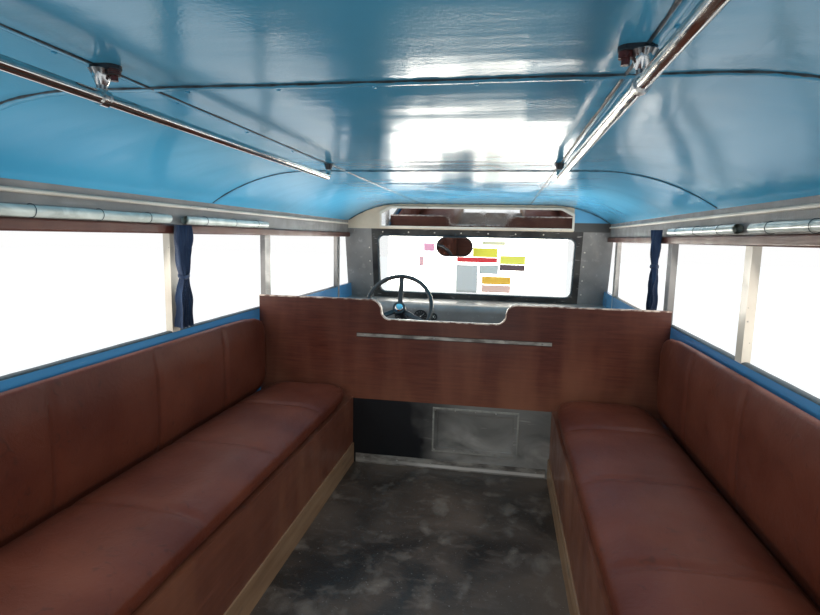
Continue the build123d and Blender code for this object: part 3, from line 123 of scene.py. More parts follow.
def joined(shapes):
    """Several shapes as one, each face list moved up by the points before it."""
    points, faces, count = [], [], 0
    for shape_points, shape_faces in shapes:
        shape_points = np.asarray(shape_points, dtype=float).reshape(-1, 3)
        points.append(shape_points)
        faces += [[corner + count for corner in face] for face in shape_faces]
        count += len(shape_points)
    return np.concatenate(points), faces


def copies(shape, places):
    """The shape moved to every place: points + place, as one array."""
    points, faces = shape
    points = np.asarray(points).reshape(-1, 3)
    places = np.asarray(places, dtype=float).reshape(-1, 3)
    everything = (places[:, None, :] + points[None, :, :]).reshape(-1, 3)
    step = len(points)
    return everything, [[corner + n * step for corner in face] for n in range(len(places)) for face in faces]


def aimed(shape, axis, to=(0.0, 0.0, 0.0)):
    """The shape with its Z turned to an axis, then moved."""
    points, faces = shape
    z = np.asarray(axis, dtype=float)
    z = z / np.linalg.norm(z)
    side = np.array([1.0, 0.0, 0.0]) if abs(z[0]) < 0.9 else np.array([0.0, 1.0, 0.0])
    y = np.cross(z, side)
    y = y / np.linalg.norm(y)
    x = np.cross(y, z)
    return np.asarray(points).reshape(-1, 3) @ np.stack([x, y, z]) + np.asarray(to, dtype=float), faces


def mirror_x(shape):
    """The shape reflected to the other side, faces turned back outwards."""
    points, faces = shape
    points = np.asarray(points).reshape(-1, 3) * np.array([-1.0, 1.0, 1.0])
    return points, [face[::-1] for face in faces]


def both_sides(shape):
    """The shape and its reflection."""
    return joined([shape, mirror_x(shape)])


def turned_shape(profile, sides=24):
    """Surface of revolution about Z: each (radius, height) of the profile goes round in equal steps."""
    profile = np.asarray(profile, dtype=float)
    turn = np.linspace(0, 2 * pi, sides, endpoint=False)
    r, z = profile[:, 0][:, None], profile[:, 1][:, None]
    points = np.stack([r * np.cos(turn), r * np.sin(turn), z + 0 * turn], axis=-1)
    return points.reshape(-1, 3), grid_faces(len(profile), sides, wrap=True)


def dome(radius, height, sides=10, rows=4):
    """A closed low dome: radius times cosine, height times sine of the rise, with a flat foot."""
    rise = np.linspace(0, pi / 2, rows)
    profile = np.stack([radius * np.cos(rise), height * np.sin(rise)], axis=-1)
    profile[-1, 0] = radius * 0.02
    points, faces = turned_shape(profile, sides)
    faces.append(list(range(sides))[::-1])
    faces.append(list(range((rows - 1) * sides, rows * sides)))
    return points, faces


def frames_along(path, closed=False):
    """Tangent and two square directions at each point of a path, the first kept near Z or X."""
    path = np.asarray(path, dtype=float)
    if closed:
        tangent = np.roll(path, -1, axis=0) - np.roll(path, 1, axis=0)
    else:
        tangent = np.gradient(path, axis=0)
    tangent /= np.linalg.norm(tangent, axis=1)[:, None]
    lead = np.array([0.0, 0.0, 1.0]) if np.abs(tangent[:, 2]).max() < 0.8 else np.array([0.31, 0.95, 0.05])
    side = np.cross(tangent, lead)
    side /= np.linalg.norm(side, axis=1)[:, None]
    return tangent, side, np.cross(side, tangent)


def tube(path, radius, sides=12, closed=False, flatten=1.0):
    """A circle carried along a path: path + radius * (side * cos + up * flatten * sin), capped if open."""
    path = np.asarray(path, dtype=float)
    _, side, up = frames_along(path, closed)
    turn = np.linspace(0, 2 * pi, sides, endpoint=False)
    radius = np.broadcast_to(radius, (len(path),))[:, None, None]
    ring = side[:, None, :] * np.cos(turn)[None, :, None] + up[:, None, :] * flatten * np.sin(turn)[None, :, None]
    points = path[:, None, :] + radius * ring
    if closed:
        points = np.concatenate([points, points[:1]])
    faces = [face[::-1] for face in grid_faces(len(points), sides, wrap=True)]
    if not closed:
        faces.append(list(range(sides)))
        faces.append(list(range((len(points) - 1) * sides, len(points) * sides))[::-1])
    return points.reshape(-1, 3), faces


def bead(path, across, up, width, height, steps=7):
    """A half-round bead: path + across * width/2 * cos + up * height * sin, over half a turn."""
    path = np.asarray(path, dtype=float)
    across = np.broadcast_to(np.asarray(across, dtype=float), path.shape)
    up = np.broadcast_to(np.asarray(up, dtype=float), path.shape)
    width = np.broadcast_to(width, (len(path),))[:, None, None]
    height = np.broadcast_to(height, (len(path),))[:, None, None]
    rise = np.linspace(0, pi, steps)
    points = (path[:, None, :] + across[:, None, :] * width / 2 * np.cos(rise)[None, :, None]
              + up[:, None, :] * height * np.sin(rise)[None, :, None])
    return points.reshape(-1, 3), grid_faces(len(path), steps)


def slab(outline, depth):
    """A closed plate: an outline in X and Y carried up Z by a depth, with slightly broken edges."""
    outline = np.asarray(outline, dtype=float)
    middle = outline.mean(axis=0)
    inner = middle + (outline - middle) * (1 - min(0.15 * depth / np.ptp(outline, axis=0).min() * 2, 0.2))
    rings = [np.c_[inner, np.zeros(len(outline))], np.c_[outline, np.full(len(outline), depth * 0.15)],
             np.c_[outline, np.full(len(outline), depth * 0.85)], np.c_[inner, np.full(len(outline), depth)]]
    n = len(outline)
    faces = grid_faces(4, n, wrap=True)
    faces.append(list(range(n))[::-1])
    faces.append(list(range(3 * n, 4 * n)))
    return np.concatenate(rings), faces


def oval(width, length, sides=32, power=2.0):
    """A rounded outline: superellipse of a width and a length."""
    turn = np.linspace(0, 2 * pi, sides, endpoint=False)
    c, s = np.cos(turn), np.sin(turn)
    return np.stack([width / 2 * np.sign(c) * np.abs(c) ** (2 / power),
                     length / 2 * np.sign(s) * np.abs(s) ** (2 / power)], axis=-1)


def brick(low, high):
    """A closed box between two corners, for thin trim."""
    x0, y0, z0 = low
    x1, y1, z1 = high
    points = [(x0, y0, z0), (x1, y0, z0), (x1, y1, z0), (x0, y1, z0),
              (x0, y0, z1), (x1, y0, z1), (x1, y1, z1), (x0, y1, z1)]
    faces = [[0, 3, 2, 1], [4, 5, 6, 7], [0, 1, 5, 4], [1, 2, 6, 5], [2, 3, 7, 6], [3, 0, 4, 7]]
    return np.array(points), faces


def softened(obj, width, segments=2):
    """Break the edges of a piece with a bevel."""
    modifier = obj.modifiers.new("edges", "BEVEL")
    modifier.width = width
    modifier.segments = segments
    modifier.limit_method = "ANGLE"
    return obj


def crown(x):
    """Height of the ceiling: flat in the middle, then an arc down to the walls."""
    beyond = np.maximum(np.abs(x) - FLAT_HALF, 0.0)
    return CROWN_Z + np.sqrt(CROWN_RADIUS**2 - beyond**2)


def crown_inward(x):
    """Direction from the ceiling into the cabin at x."""
    beyond = np.sign(x) * np.maximum(np.abs(x) - FLAT_HALF, 0.0)
    down = -np.sqrt(CROWN_RADIUS**2 - beyond**2)
    return np.stack([-beyond, 0 * x, down], axis=-1) / CROWN_RADIUS


def screen_y(z, inward=0.0):
    """Station of the windscreen's middle plane at a height, less a distance square to it."""
    return SCREEN_FOOT_Y - (z - SCREEN_FOOT_Z) * tan(SCREEN_RAKE) - inward / cos(SCREEN_RAKE)


# Finishes

SOCKETS = {
    "colour": "Base Color", "metal": "Metallic", "rough": "Roughness", "ior": "IOR", "coat": "Coat Weight",
    "coat_rough": "Coat Roughness", "shine": "Specular IOR Level", "sheen": "Sheen Weight",
    "sheen_rough": "Sheen Roughness", "through": "Transmission Weight", "alpha": "Alpha",
    "under": "Subsurface Weight",
}


class Finish:
    """A Principled material and short ways to lay patterns on it, all on Object coordinates."""

    def __init__(self, name, **values):
        self.material = bpy.data.materials.new(name)
        self.material.use_nodes = True
        self.tree = self.material.node_tree
        self.shader = self.tree.nodes["Principled BSDF"]
        self.place = self.tree.nodes.new("ShaderNodeTexCoord").outputs["Object"]
        self.relief = None
        for key, value in values.items():
            socket = self.shader.inputs[SOCKETS[key]]
            socket.default_value = (*value, 1.0) if isinstance(value, tuple) else value

    def wire(self, value, socket):
        """Set a socket to a number or a colour, or link it."""
        if isinstance(value, bpy.types.NodeSocket):
            self.tree.links.new(value, socket)
        elif isinstance(value, tuple) and len(value) == 3 and socket.type == "RGBA":
            socket.default_value = (*value, 1.0)
        else:
            socket.default_value = value

    def stretched(self, stretch, origin=(0.0, 0.0, 0.0), turn=(0.0, 0.0, 0.0)):
        """Object coordinates with a scale for each axis."""
        mapping = self.tree.nodes.new("ShaderNodeMapping")
        mapping.inputs["Scale"].default_value = stretch
        mapping.inputs["Location"].default_value = origin
        mapping.inputs["Rotation"].default_value = turn
        self.tree.links.new(self.place, mapping.inputs["Vector"])
        return mapping.outputs["Vector"]

    def noise(self, scale, detail=3.0, stretch=(1.0, 1.0, 1.0), wander=0.0, origin=(0.0, 0.0, 0.0)):
        """Soft cloudy pattern from 0 to 1."""
        node = self.tree.nodes.new("ShaderNodeTexNoise")
        node.inputs["Scale"].default_value = scale
        node.inputs["Detail"].default_value = detail
        node.inputs["Distortion"].default_value = wander
        self.tree.links.new(self.stretched(stretch, origin), node.inputs["Vector"])
        return node.outputs["Fac"]

    def cells(self, scale, feature="F1", stretch=(1.0, 1.0, 1.0), jitter=1.0):
        """Distance in a cell pattern."""
        node = self.tree.nodes.new("ShaderNodeTexVoronoi")
        node.feature = feature
        node.inputs["Scale"].default_value = scale
        node.inputs["Randomness"].default_value = jitter
        self.tree.links.new(self.stretched(stretch), node.inputs["Vector"])
        return node.outputs["Distance"]

    def bands(self, scale, axis="X", wander=0.0, detail=2.0, stretch=(1.0, 1.0, 1.0)):
        """Even bands across an axis."""
        node = self.tree.nodes.new("ShaderNodeTexWave")
        node.bands_direction = axis
        node.inputs["Scale"].default_value = scale
        node.inputs["Distortion"].default_value = wander
        node.inputs["Detail"].default_value = detail
        self.tree.links.new(self.stretched(stretch), node.inputs["Vector"])
        return node.outputs["Fac"]

    def part_of(self, axis):
        """One of the three coordinates."""
        node = self.tree.nodes.new("ShaderNodeSeparateXYZ")
        self.tree.links.new(self.place, node.inputs["Vector"])
        return node.outputs[axis]

    def maths(self, operation, first, second=0.0):
        """One sum on numbers."""
        node = self.tree.nodes.new("ShaderNodeMath")
        node.operation = operation
        self.wire(first, node.inputs[0])
        self.wire(second, node.inputs[1])
        return node.outputs["Value"]

    def scaled(self, value, low, high, to_low=0.0, to_high=1.0, smooth=False):
        """A number mapped from one range to another and kept within it."""
        node = self.tree.nodes.new("ShaderNodeMapRange")
        node.interpolation_type = "SMOOTHSTEP" if smooth else "LINEAR"
        self.wire(value, node.inputs["Value"])
        for key, number in (("From Min", low), ("From Max", high), ("To Min", to_low), ("To Max", to_high)):
            node.inputs[key].default_value = number
        return node.outputs["Result"]

    def blend(self, share, first, second):
        """Two colours mixed by a share."""
        node = self.tree.nodes.new("ShaderNodeMix")
        node.data_type = "RGBA"
        self.wire(share, node.inputs["Factor"])
        self.wire(first, node.inputs[6])
        self.wire(second, node.inputs[7])
        return node.outputs[2]

    def raise_by(self, height, depth):
        """Add relief: a height pattern of a depth in metres, over what is there."""
        node = self.tree.nodes.new("ShaderNodeBump")
        node.inputs["Distance"].default_value = depth
        self.wire(height, node.inputs["Height"])
        if self.relief is not None:
            self.tree.links.new(self.relief, node.inputs["Normal"])
        self.relief = node.outputs["Normal"]
        self.tree.links.new(self.relief, self.shader.inputs["Normal"])

    def give(self, **links):
        """Link patterns to the shader."""
        for key, value in links.items():
            self.wire(value, self.shader.inputs[SOCKETS[key]])
        return self.material


def near_seams(finish, reach):
    """How near a point of the ceiling is to a seam: 1 on it, 0 beyond a reach."""
    x = finish.maths("ABSOLUTE", finish.part_of("X"))
    gap = finish.maths("ABSOLUTE", finish.maths("SUBTRACT", x, LONG_SEAM_X))
    for seam in CROSS_SEAM_Y:
        beside = finish.maths("ABSOLUTE", finish.maths("SUBTRACT", finish.part_of("Y"), seam))
        gap = finish.maths("MINIMUM", gap, beside)
    return finish.scaled(gap, 0.0, reach, 1.0, 0.0, smooth=True)


def bowed(finish):
    """Height of the lining between cross seams: sin(pi s), s the share of the way along its panel."""
    y = finish.part_of("Y")
    pitch = CROSS_SEAM_Y[0] - CROSS_SEAM_Y[1]
    ahead = finish.maths("SUBTRACT", y, CROSS_SEAM_Y[0])
    behind = finish.maths("FRACT", finish.maths("DIVIDE", ahead, pitch))
    front = finish.maths("DIVIDE", ahead, HEADER_Y - CROSS_SEAM_Y[0])
    is_front = finish.maths("GREATER_THAN", ahead, 0.0)
    share = finish.maths("ADD", finish.maths("MULTIPLY", front, is_front),
                         finish.maths("MULTIPLY", behind, finish.maths("SUBTRACT", 1.0, is_front)))
    return finish.maths("SINE", finish.maths("MULTIPLY", share, pi))


def ceiling_paint():
    """Glossy blue enamel on sheet: orange peel, slow ripples across it, bowed panels and dust along the seams."""
    finish = Finish("ceiling_paint", shine=0.30)
    cloud = finish.noise(1.1, 2.0)
    film = finish.noise(3.5, 3.0, wander=0.5)
    blue = finish.blend(finish.scaled(cloud, 0.3, 0.7), (0.060, 0.325, 0.540), (0.086, 0.395, 0.620))
    dust = finish.maths("MULTIPLY", near_seams(finish, 0.030), finish.scaled(finish.noise(14.0), 0.35, 0.7))
    blue = finish.blend(finish.scaled(dust, 0.0, 1.0, 0.0, 0.55), blue, (0.05, 0.12, 0.17))
    finish.raise_by(bowed(finish), 0.010)
    finish.raise_by(finish.noise(2.3, 1.0, stretch=(1.0, 0.8, 1.0)), 0.0040)
    finish.raise_by(finish.noise(9.0, 1.0, stretch=(0.22, 1.0, 1.0)), 0.0022)
    finish.raise_by(finish.noise(38.0, 1.0, stretch=(0.12, 1.0, 1.0)), 0.00025)
    finish.raise_by(finish.noise(230.0, 0.0), 0.00010)
    return finish.give(colour=blue, rough=finish.scaled(film, 0.3, 0.7, 0.11, 0.21))


def body_paint():
    """Blue enamel outside: orange peel, faint scratches, road dust low down, the roof faded and dirty."""
    finish = Finish("body_paint", coat=0.5, coat_rough=0.08)
    cloud = finish.noise(1.6, 3.0)
    blue = finish.blend(finish.scaled(cloud, 0.3, 0.7), (0.045, 0.235, 0.480), (0.075, 0.300, 0.560))
    spatter = finish.maths("MULTIPLY", finish.scaled(finish.part_of("Z"), 0.0, 0.55, 1.0, 0.0),
                           finish.scaled(finish.noise(26.0, 5.0), 0.42, 0.68))
    high = finish.scaled(finish.part_of("Z"), 1.27, 1.43)
    faded = finish.maths("MULTIPLY", high, finish.scaled(finish.noise(3.2, 5.0, wander=0.6), 0.36, 0.66, 0.05, 0.55))
    blue = finish.blend(faded, blue, (0.155, 0.330, 0.470))
    dirt = finish.maths("MULTIPLY", high, finish.scaled(finish.noise(11.0, 7.0, stretch=(0.45, 1.0, 1.0)), 0.54, 0.70))
    blue = finish.blend(finish.scaled(dirt, 0.0, 1.0, 0.0, 0.45), blue, (0.120, 0.118, 0.100))
    dusty = finish.blend(finish.scaled(spatter, 0.0, 1.0, 0.0, 0.6), blue, (0.23, 0.19, 0.14))
    scratch = finish.scaled(finish.noise(420.0, 2.0, stretch=(1.0, 0.02, 0.6)), 0.68, 0.74, 0.0, 0.35)
    finish.raise_by(finish.noise(230.0, 2.0), 0.0002)
    finish.raise_by(finish.noise(3.0, 1.0), 0.002)
    return finish.give(colour=finish.blend(scratch, dusty, (0.30, 0.48, 0.62)),
                       rough=finish.scaled(spatter, 0.0, 1.0, 0.22, 0.6))


def cream_paint():
    """Brushed cream enamel with grime in clouds and small chips."""
    finish = Finish("cream_paint", coat=0.2, coat_rough=0.2)
    cream = finish.blend(finish.scaled(finish.noise(5.0, 4.0), 0.35, 0.75), (0.68, 0.62, 0.52), (0.50, 0.43, 0.35))
    chip = finish.scaled(finish.noise(60.0, 4.0), 0.70, 0.72, 0.0, 0.8)
    finish.raise_by(finish.noise(90.0, 2.0, stretch=(1.0, 0.15, 1.0)), 0.0004)
    return finish.give(colour=finish.blend(chip, cream, (0.15, 0.13, 0.11)),
                       rough=finish.scaled(finish.noise(12.0), 0.3, 0.7, 0.28, 0.5))


def grey_paint():
    """Grey hammered enamel, rubbed paler along its runs."""
    finish = Finish("grey_paint", coat=0.15)
    grey = finish.blend(finish.scaled(finish.noise(6.0, 4.0), 0.35, 0.7), (0.235, 0.222, 0.210), (0.155, 0.145, 0.138))
    rub = finish.scaled(finish.noise(30.0, 4.0, stretch=(1.0, 0.1, 1.0)), 0.60, 0.75, 0.0, 0.5)
    finish.raise_by(finish.cells(140.0, jitter=0.9), 0.0003)
    return finish.give(colour=finish.blend(rub, grey, (0.40, 0.38, 0.35)),
                       rough=finish.scaled(finish.noise(18.0), 0.3, 0.7, 0.30, 0.55))


def dark_steel():
    """Black enamel worn to bare steel in scuffs, with a film of dust."""
    finish = Finish("dark_steel")
    dust = finish.scaled(finish.noise(7.0, 5.0), 0.40, 0.75)
    black = finish.blend(dust, (0.022, 0.022, 0.023), (0.075, 0.068, 0.060))
    scuff = finish.scaled(finish.noise(70.0, 5.0, stretch=(0.25, 1.0, 1.0)), 0.62, 0.70)
    finish.raise_by(finish.noise(120.0, 3.0), 0.0004)
    return finish.give(colour=finish.blend(scuff, black, (0.24, 0.23, 0.22)),
                       metal=finish.scaled(scuff, 0.0, 1.0, 0.25, 0.9),
                       rough=finish.scaled(dust, 0.0, 1.0, 0.30, 0.58))


def maroon_board():
    """Varnished maroon board: long grain, paler places of wear that are partly a painted highlight, painted sheen in
    vertical smears, painted shade towards the top, a painted highlight low down and a soft gloss.
    """
    finish = Finish("maroon_board", coat=0.14, coat_rough=0.12, shine=0.36)
    grain = finish.noise(16.0, 6.0, stretch=(0.35, 0.35, 7.0), wander=0.6)
    fine = finish.noise(140.0, 3.0, stretch=(0.12, 0.12, 1.0))
    # painted sheen: pale vertical smears in place of reflected light
    painted_sheen_smear = finish.scaled(finish.noise(7.0, 4.0, stretch=(1.0, 1.0, 0.16), wander=0.3), 0.46, 0.72, 0.0, 0.55)
    wood = finish.blend(finish.scaled(grain, 0.3, 0.7), (0.066, 0.0155, 0.0105), (0.118, 0.0340, 0.0200))
    wood = finish.blend(finish.scaled(fine, 0.45, 0.75, 0.0, 0.28), wood, (0.030, 0.011, 0.009))
    wood = finish.blend(painted_sheen_smear, wood, (0.190, 0.070, 0.042))
    # paler places of wear, more of them low down: wear, partly a painted highlight
    wear_and_sheen = finish.scaled(finish.noise(4.5, 3.0, stretch=(1.0, 1.0, 0.35)), 0.50, 0.72, 0.0, 0.75)
    wear_and_sheen = finish.maths("MULTIPLY", wear_and_sheen, finish.scaled(finish.part_of("Z"), 0.45, 0.74, 1.0, 0.20))
    # painted shade: darker towards the top of the board
    wood = finish.blend(finish.scaled(finish.part_of("Z"), 0.62, 0.78, 0.0, 0.35), wood, (0.022, 0.0060, 0.0050))
    # painted highlight: paler warm brown towards the bottom of the board
    wood = finish.blend(finish.scaled(finish.part_of("Z"), 0.42, 0.64, 0.30, 0.0), wood, (0.200, 0.080, 0.046))
    finish.raise_by(fine, 0.0004)
    finish.raise_by(finish.noise(2.6, 1.0), 0.003)
    return finish.give(colour=finish.blend(wear_and_sheen, wood, (0.225, 0.092, 0.050)),
                       rough=finish.scaled(finish.noise(9.0, 4.0), 0.3, 0.7, 0.30, 0.5))


def brown_vinyl():
    """Brown leathercloth: pebble grain, soft creases, polished where it is sat on."""
    finish = Finish("brown_vinyl", shine=0.26)
    pebble = finish.cells(520.0)
    crease = finish.noise(34.0, 6.0, wander=1.2)
    brown = finish.blend(finish.scaled(finish.noise(4.0, 4.0), 0.3, 0.7), (0.074, 0.0165, 0.0095), (0.130, 0.0350, 0.0190))
    brown = finish.blend(finish.scaled(crease, 0.60, 0.72, 0.0, 0.45), brown, (0.028, 0.012, 0.009))
    finish.raise_by(crease, 0.0012)
    finish.raise_by(pebble, 0.00035)
    return finish.give(colour=brown, rough=finish.scaled(finish.noise(6.0, 3.0), 0.3, 0.7, 0.34, 0.55))


def floor_rubber():
    """Black floor rubber with brown dirt, grey scuffed blotches and drag marks along the aisle."""
    finish = Finish("floor_rubber", shine=0.32)
    dust = finish.scaled(finish.noise(3.6, 7.0, wander=0.5), 0.38, 0.68)
    blotch = finish.scaled(finish.noise(12.0, 10.0, stretch=(1.0, 0.8, 1.0), wander=0.3), 0.55, 0.70)
    drag = finish.scaled(finish.noise(30.0, 6.0, stretch=(0.5, 1.0, 1.0), wander=0.4), 0.54, 0.74)
    base = finish.blend(dust, (0.026, 0.0205, 0.0170), (0.105, 0.075, 0.057))
    base = finish.blend(finish.scaled(blotch, 0.0, 1.0, 0.0, 0.62), base, (0.190, 0.158, 0.132))
    base = finish.blend(finish.scaled(drag, 0.0, 1.0, 0.0, 0.55), base, (0.120, 0.092, 0.076))
    speck = finish.scaled(finish.noise(150.0, 3.0), 0.69, 0.73, 0.0, 0.6)
    finish.raise_by(finish.noise(260.0, 3.0), 0.0005)
    finish.raise_by(finish.noise(12.0, 3.0), 0.0012)
    return finish.give(colour=finish.blend(speck, base, (0.27, 0.25, 0.23)),
                       rough=finish.scaled(dust, 0.0, 1.0, 0.34, 0.62))


def chrome():
    """Chromed tube with finger marks and fine pits."""
    finish = Finish("chrome", metal=1.0)
    smudge = finish.noise(24.0, 4.0)
    pit = finish.scaled(finish.noise(380.0, 2.0), 0.70, 0.74, 0.0, 0.5)
    finish.raise_by(finish.noise(30.0, 1.0), 0.0004)
    return finish.give(colour=finish.blend(pit, (0.74, 0.73, 0.71), (0.25, 0.22, 0.20)),
                       rough=finish.scaled(smudge, 0.35, 0.7, 0.06, 0.20))


def dull_chrome():
    """Chrome gone dull and grey: painted highlight on the ridges, painted shade in the eight flutes, cos(8 turn) round
    the post.
    """
    finish = Finish("dull_chrome", metal=0.85)
    outward = finish.maths("SUBTRACT", finish.maths("ABSOLUTE", finish.part_of("X")), RAIL_X)
    forward = finish.maths("SUBTRACT", finish.part_of("Y"), RAIL_POST_Y)
    turn = finish.maths("ARCTAN2", forward, outward)
    ridge = finish.maths("COSINE", finish.maths("MULTIPLY", turn, 8.0))
    cloud = finish.noise(70.0, 3.0, stretch=(1.0, 1.0, 0.3))
    # painted highlight and painted shade: pale on the ridges, dark in the flutes
    shade = finish.maths("ADD", finish.scaled(ridge, -0.6, 1.0, 0.0, 0.75), finish.scaled(cloud, 0.35, 0.65, 0.0, 0.25))
    finish.raise_by(finish.noise(90.0, 2.0, stretch=(1.0, 1.0, 0.2)), 0.0004)
    return finish.give(colour=finish.blend(shade, (0.075, 0.080, 0.085), (0.66, 0.66, 0.65)),
                       rough=finish.scaled(cloud, 0.3, 0.7, 0.22, 0.40))


def aluminium():
    """Worn aluminium: rubbed along its length, dark in the dents."""
    finish = Finish("aluminium", metal=0.9)
    rub = finish.noise(60.0, 5.0, stretch=(0.2, 1.0, 1.0))
    metal = finish.blend(finish.scaled(rub, 0.35, 0.65), (0.62, 0.60, 0.56), (0.24, 0.22, 0.20))
    finish.raise_by(finish.noise(45.0, 4.0), 0.0008)
    return finish.give(colour=metal, rough=finish.scaled(rub, 0.3, 0.7, 0.28, 0.55))


def header_paint():
    """Header over the windscreen: cream, blue at its right end and dark below that."""
    finish = Finish("header_paint", coat=0.2, coat_rough=0.2)
    cream = finish.blend(finish.scaled(finish.noise(5.0, 4.0), 0.35, 0.75), (0.66, 0.56, 0.42), (0.48, 0.38, 0.28))
    high = finish.scaled(finish.part_of("Z"), 1.298, 1.303)
    end = finish.blend(high, (0.065, 0.058, 0.052), (0.105, 0.375, 0.600))
    finish.raise_by(finish.noise(90.0, 2.0, stretch=(0.15, 1.0, 1.0)), 0.0004)
    return finish.give(colour=finish.blend(finish.scaled(finish.part_of("X"), 0.676, 0.682), cream, end),
                       rough=finish.scaled(finish.noise(12.0), 0.3, 0.7, 0.28, 0.5))


def rail_metal():
    """Chromed grab rail with finger marks, its flared feet painted dark."""
    finish = Finish("rail_metal")
    foot = finish.scaled(finish.part_of("Z"), RAIL_FOOT_LOW - 0.001, RAIL_FOOT_LOW + 0.001)
    smudge = finish.noise(24.0, 4.0)
    bright = finish.blend(finish.scaled(smudge, 0.4, 0.7), (0.78, 0.76, 0.73), (0.60, 0.56, 0.52))
    finish.raise_by(finish.noise(30.0, 1.0), 0.0004)
    return finish.give(colour=finish.blend(foot, bright, (0.020, 0.024, 0.028)),
                       metal=finish.scaled(foot, 0.0, 1.0, 1.0, 0.0),
                       rough=finish.scaled(smudge, 0.35, 0.7, 0.08, 0.24))


def post_metal():
    """Rail post: chromed stem under a dark plate, with a rust-red pad on the bolt's side."""
    finish = Finish("post_metal")
    plate = finish.scaled(finish.part_of("Z"), POST_PLATE_LOW - 0.0006, POST_PLATE_LOW + 0.0002)
    bolt = finish.scaled(finish.maths("ABSOLUTE", finish.part_of("X")), POST_BOLT_X + 0.0085, POST_BOLT_X + 0.0095, 1.0, 0.0)
    dull = finish.maths("MAXIMUM", plate, bolt)
    rust = finish.blend(finish.scaled(finish.noise(150.0, 3.0), 0.4, 0.7), (0.095, 0.022, 0.020), (0.030, 0.012, 0.012))
    dark = finish.blend(plate, rust, (0.014, 0.019, 0.025))
    finish.raise_by(finish.noise(60.0, 2.0), 0.0005)
    return finish.give(colour=finish.blend(dull, (0.70, 0.70, 0.69), dark),
                       metal=finish.scaled(dull, 0.0, 1.0, 1.0, 0.2),
                       rough=finish.scaled(finish.noise(40.0), 0.35, 0.7, 0.12, 0.35))


def partition_steel():
    """Lower panel: painted shade takes it to black at the left; its hatch bare steel low down, part wear and part
    painted sheen; a painted highlight along the hatch frame edge.
    """
    finish = Finish("partition_steel")
    x, z = finish.part_of("X"), finish.part_of("Z")
    # lit is painted light and shade: black at the left of the panel, grey towards the right
    lit = finish.scaled(finish.maths("ADD", x, finish.scaled(finish.noise(5.0), 0.3, 0.7, -0.08, 0.08)), -0.14, 0.10)
    painted_sheen_smear = finish.scaled(finish.noise(9.0, 6.0, stretch=(0.5, 1.0, 1.0), wander=0.8), 0.35, 0.75)
    low = finish.scaled(z, 0.200, 0.345, 1.0, 0.20)
    # bare steel low on the hatch: wear, partly a painted sheen, shown only where the painted light falls
    wear_and_sheen = finish.maths("MULTIPLY", finish.maths("MULTIPLY", painted_sheen_smear, low), lit)
    base = finish.blend(lit, (0.006, 0.0065, 0.008), (0.125, 0.124, 0.116))
    steel = finish.blend(wear_and_sheen, base, (0.52, 0.505, 0.475))
    outer_x = finish.maths("ABSOLUTE", finish.maths("SUBTRACT", x, (HATCH_LEFT + HATCH_RIGHT) / 2))
    beside = finish.maths("ABSOLUTE", finish.maths("SUBTRACT", outer_x, (HATCH_RIGHT - HATCH_LEFT) / 2 - 0.003))
    outer_z = finish.maths("ABSOLUTE", finish.maths("SUBTRACT", z, (HATCH_LOW + HATCH_HIGH) / 2))
    above = finish.maths("ABSOLUTE", finish.maths("SUBTRACT", outer_z, (HATCH_HIGH - HATCH_LOW) / 2 - 0.003))
    inside_x = finish.maths("LESS_THAN", outer_x, (HATCH_RIGHT - HATCH_LEFT) / 2 + 0.001)
    inside_z = finish.maths("LESS_THAN", outer_z, (HATCH_HIGH - HATCH_LOW) / 2 + 0.001)
    edge = finish.scaled(finish.maths("MINIMUM", beside, above), 0.003, 0.006, 1.0, 0.0)
    edge = finish.maths("MULTIPLY", finish.maths("MULTIPLY", edge, inside_x), inside_z)
    # painted highlight along the edge of the hatch frame
    painted_frame_highlight = finish.maths("MULTIPLY", edge, finish.scaled(finish.noise(50.0, 3.0), 0.3, 0.6, 0.35, 0.9))
    scratch = finish.scaled(finish.noise(60.0, 4.0, stretch=(0.12, 1.0, 1.0)), 0.64, 0.72, 0.0, 0.45)
    # scratches, shown only where the painted light falls
    steel = finish.blend(finish.maths("MULTIPLY", scratch, lit), steel, (0.55, 0.53, 0.50))
    finish.raise_by(finish.noise(14.0, 4.0), 0.0015)
    return finish.give(colour=finish.blend(painted_frame_highlight, steel, (0.30, 0.30, 0.27)),
                       metal=finish.scaled(wear_and_sheen, 0.0, 1.0, 0.10, 0.55),
                       rough=finish.scaled(painted_sheen_smear, 0.0, 1.0, 0.50, 0.30))


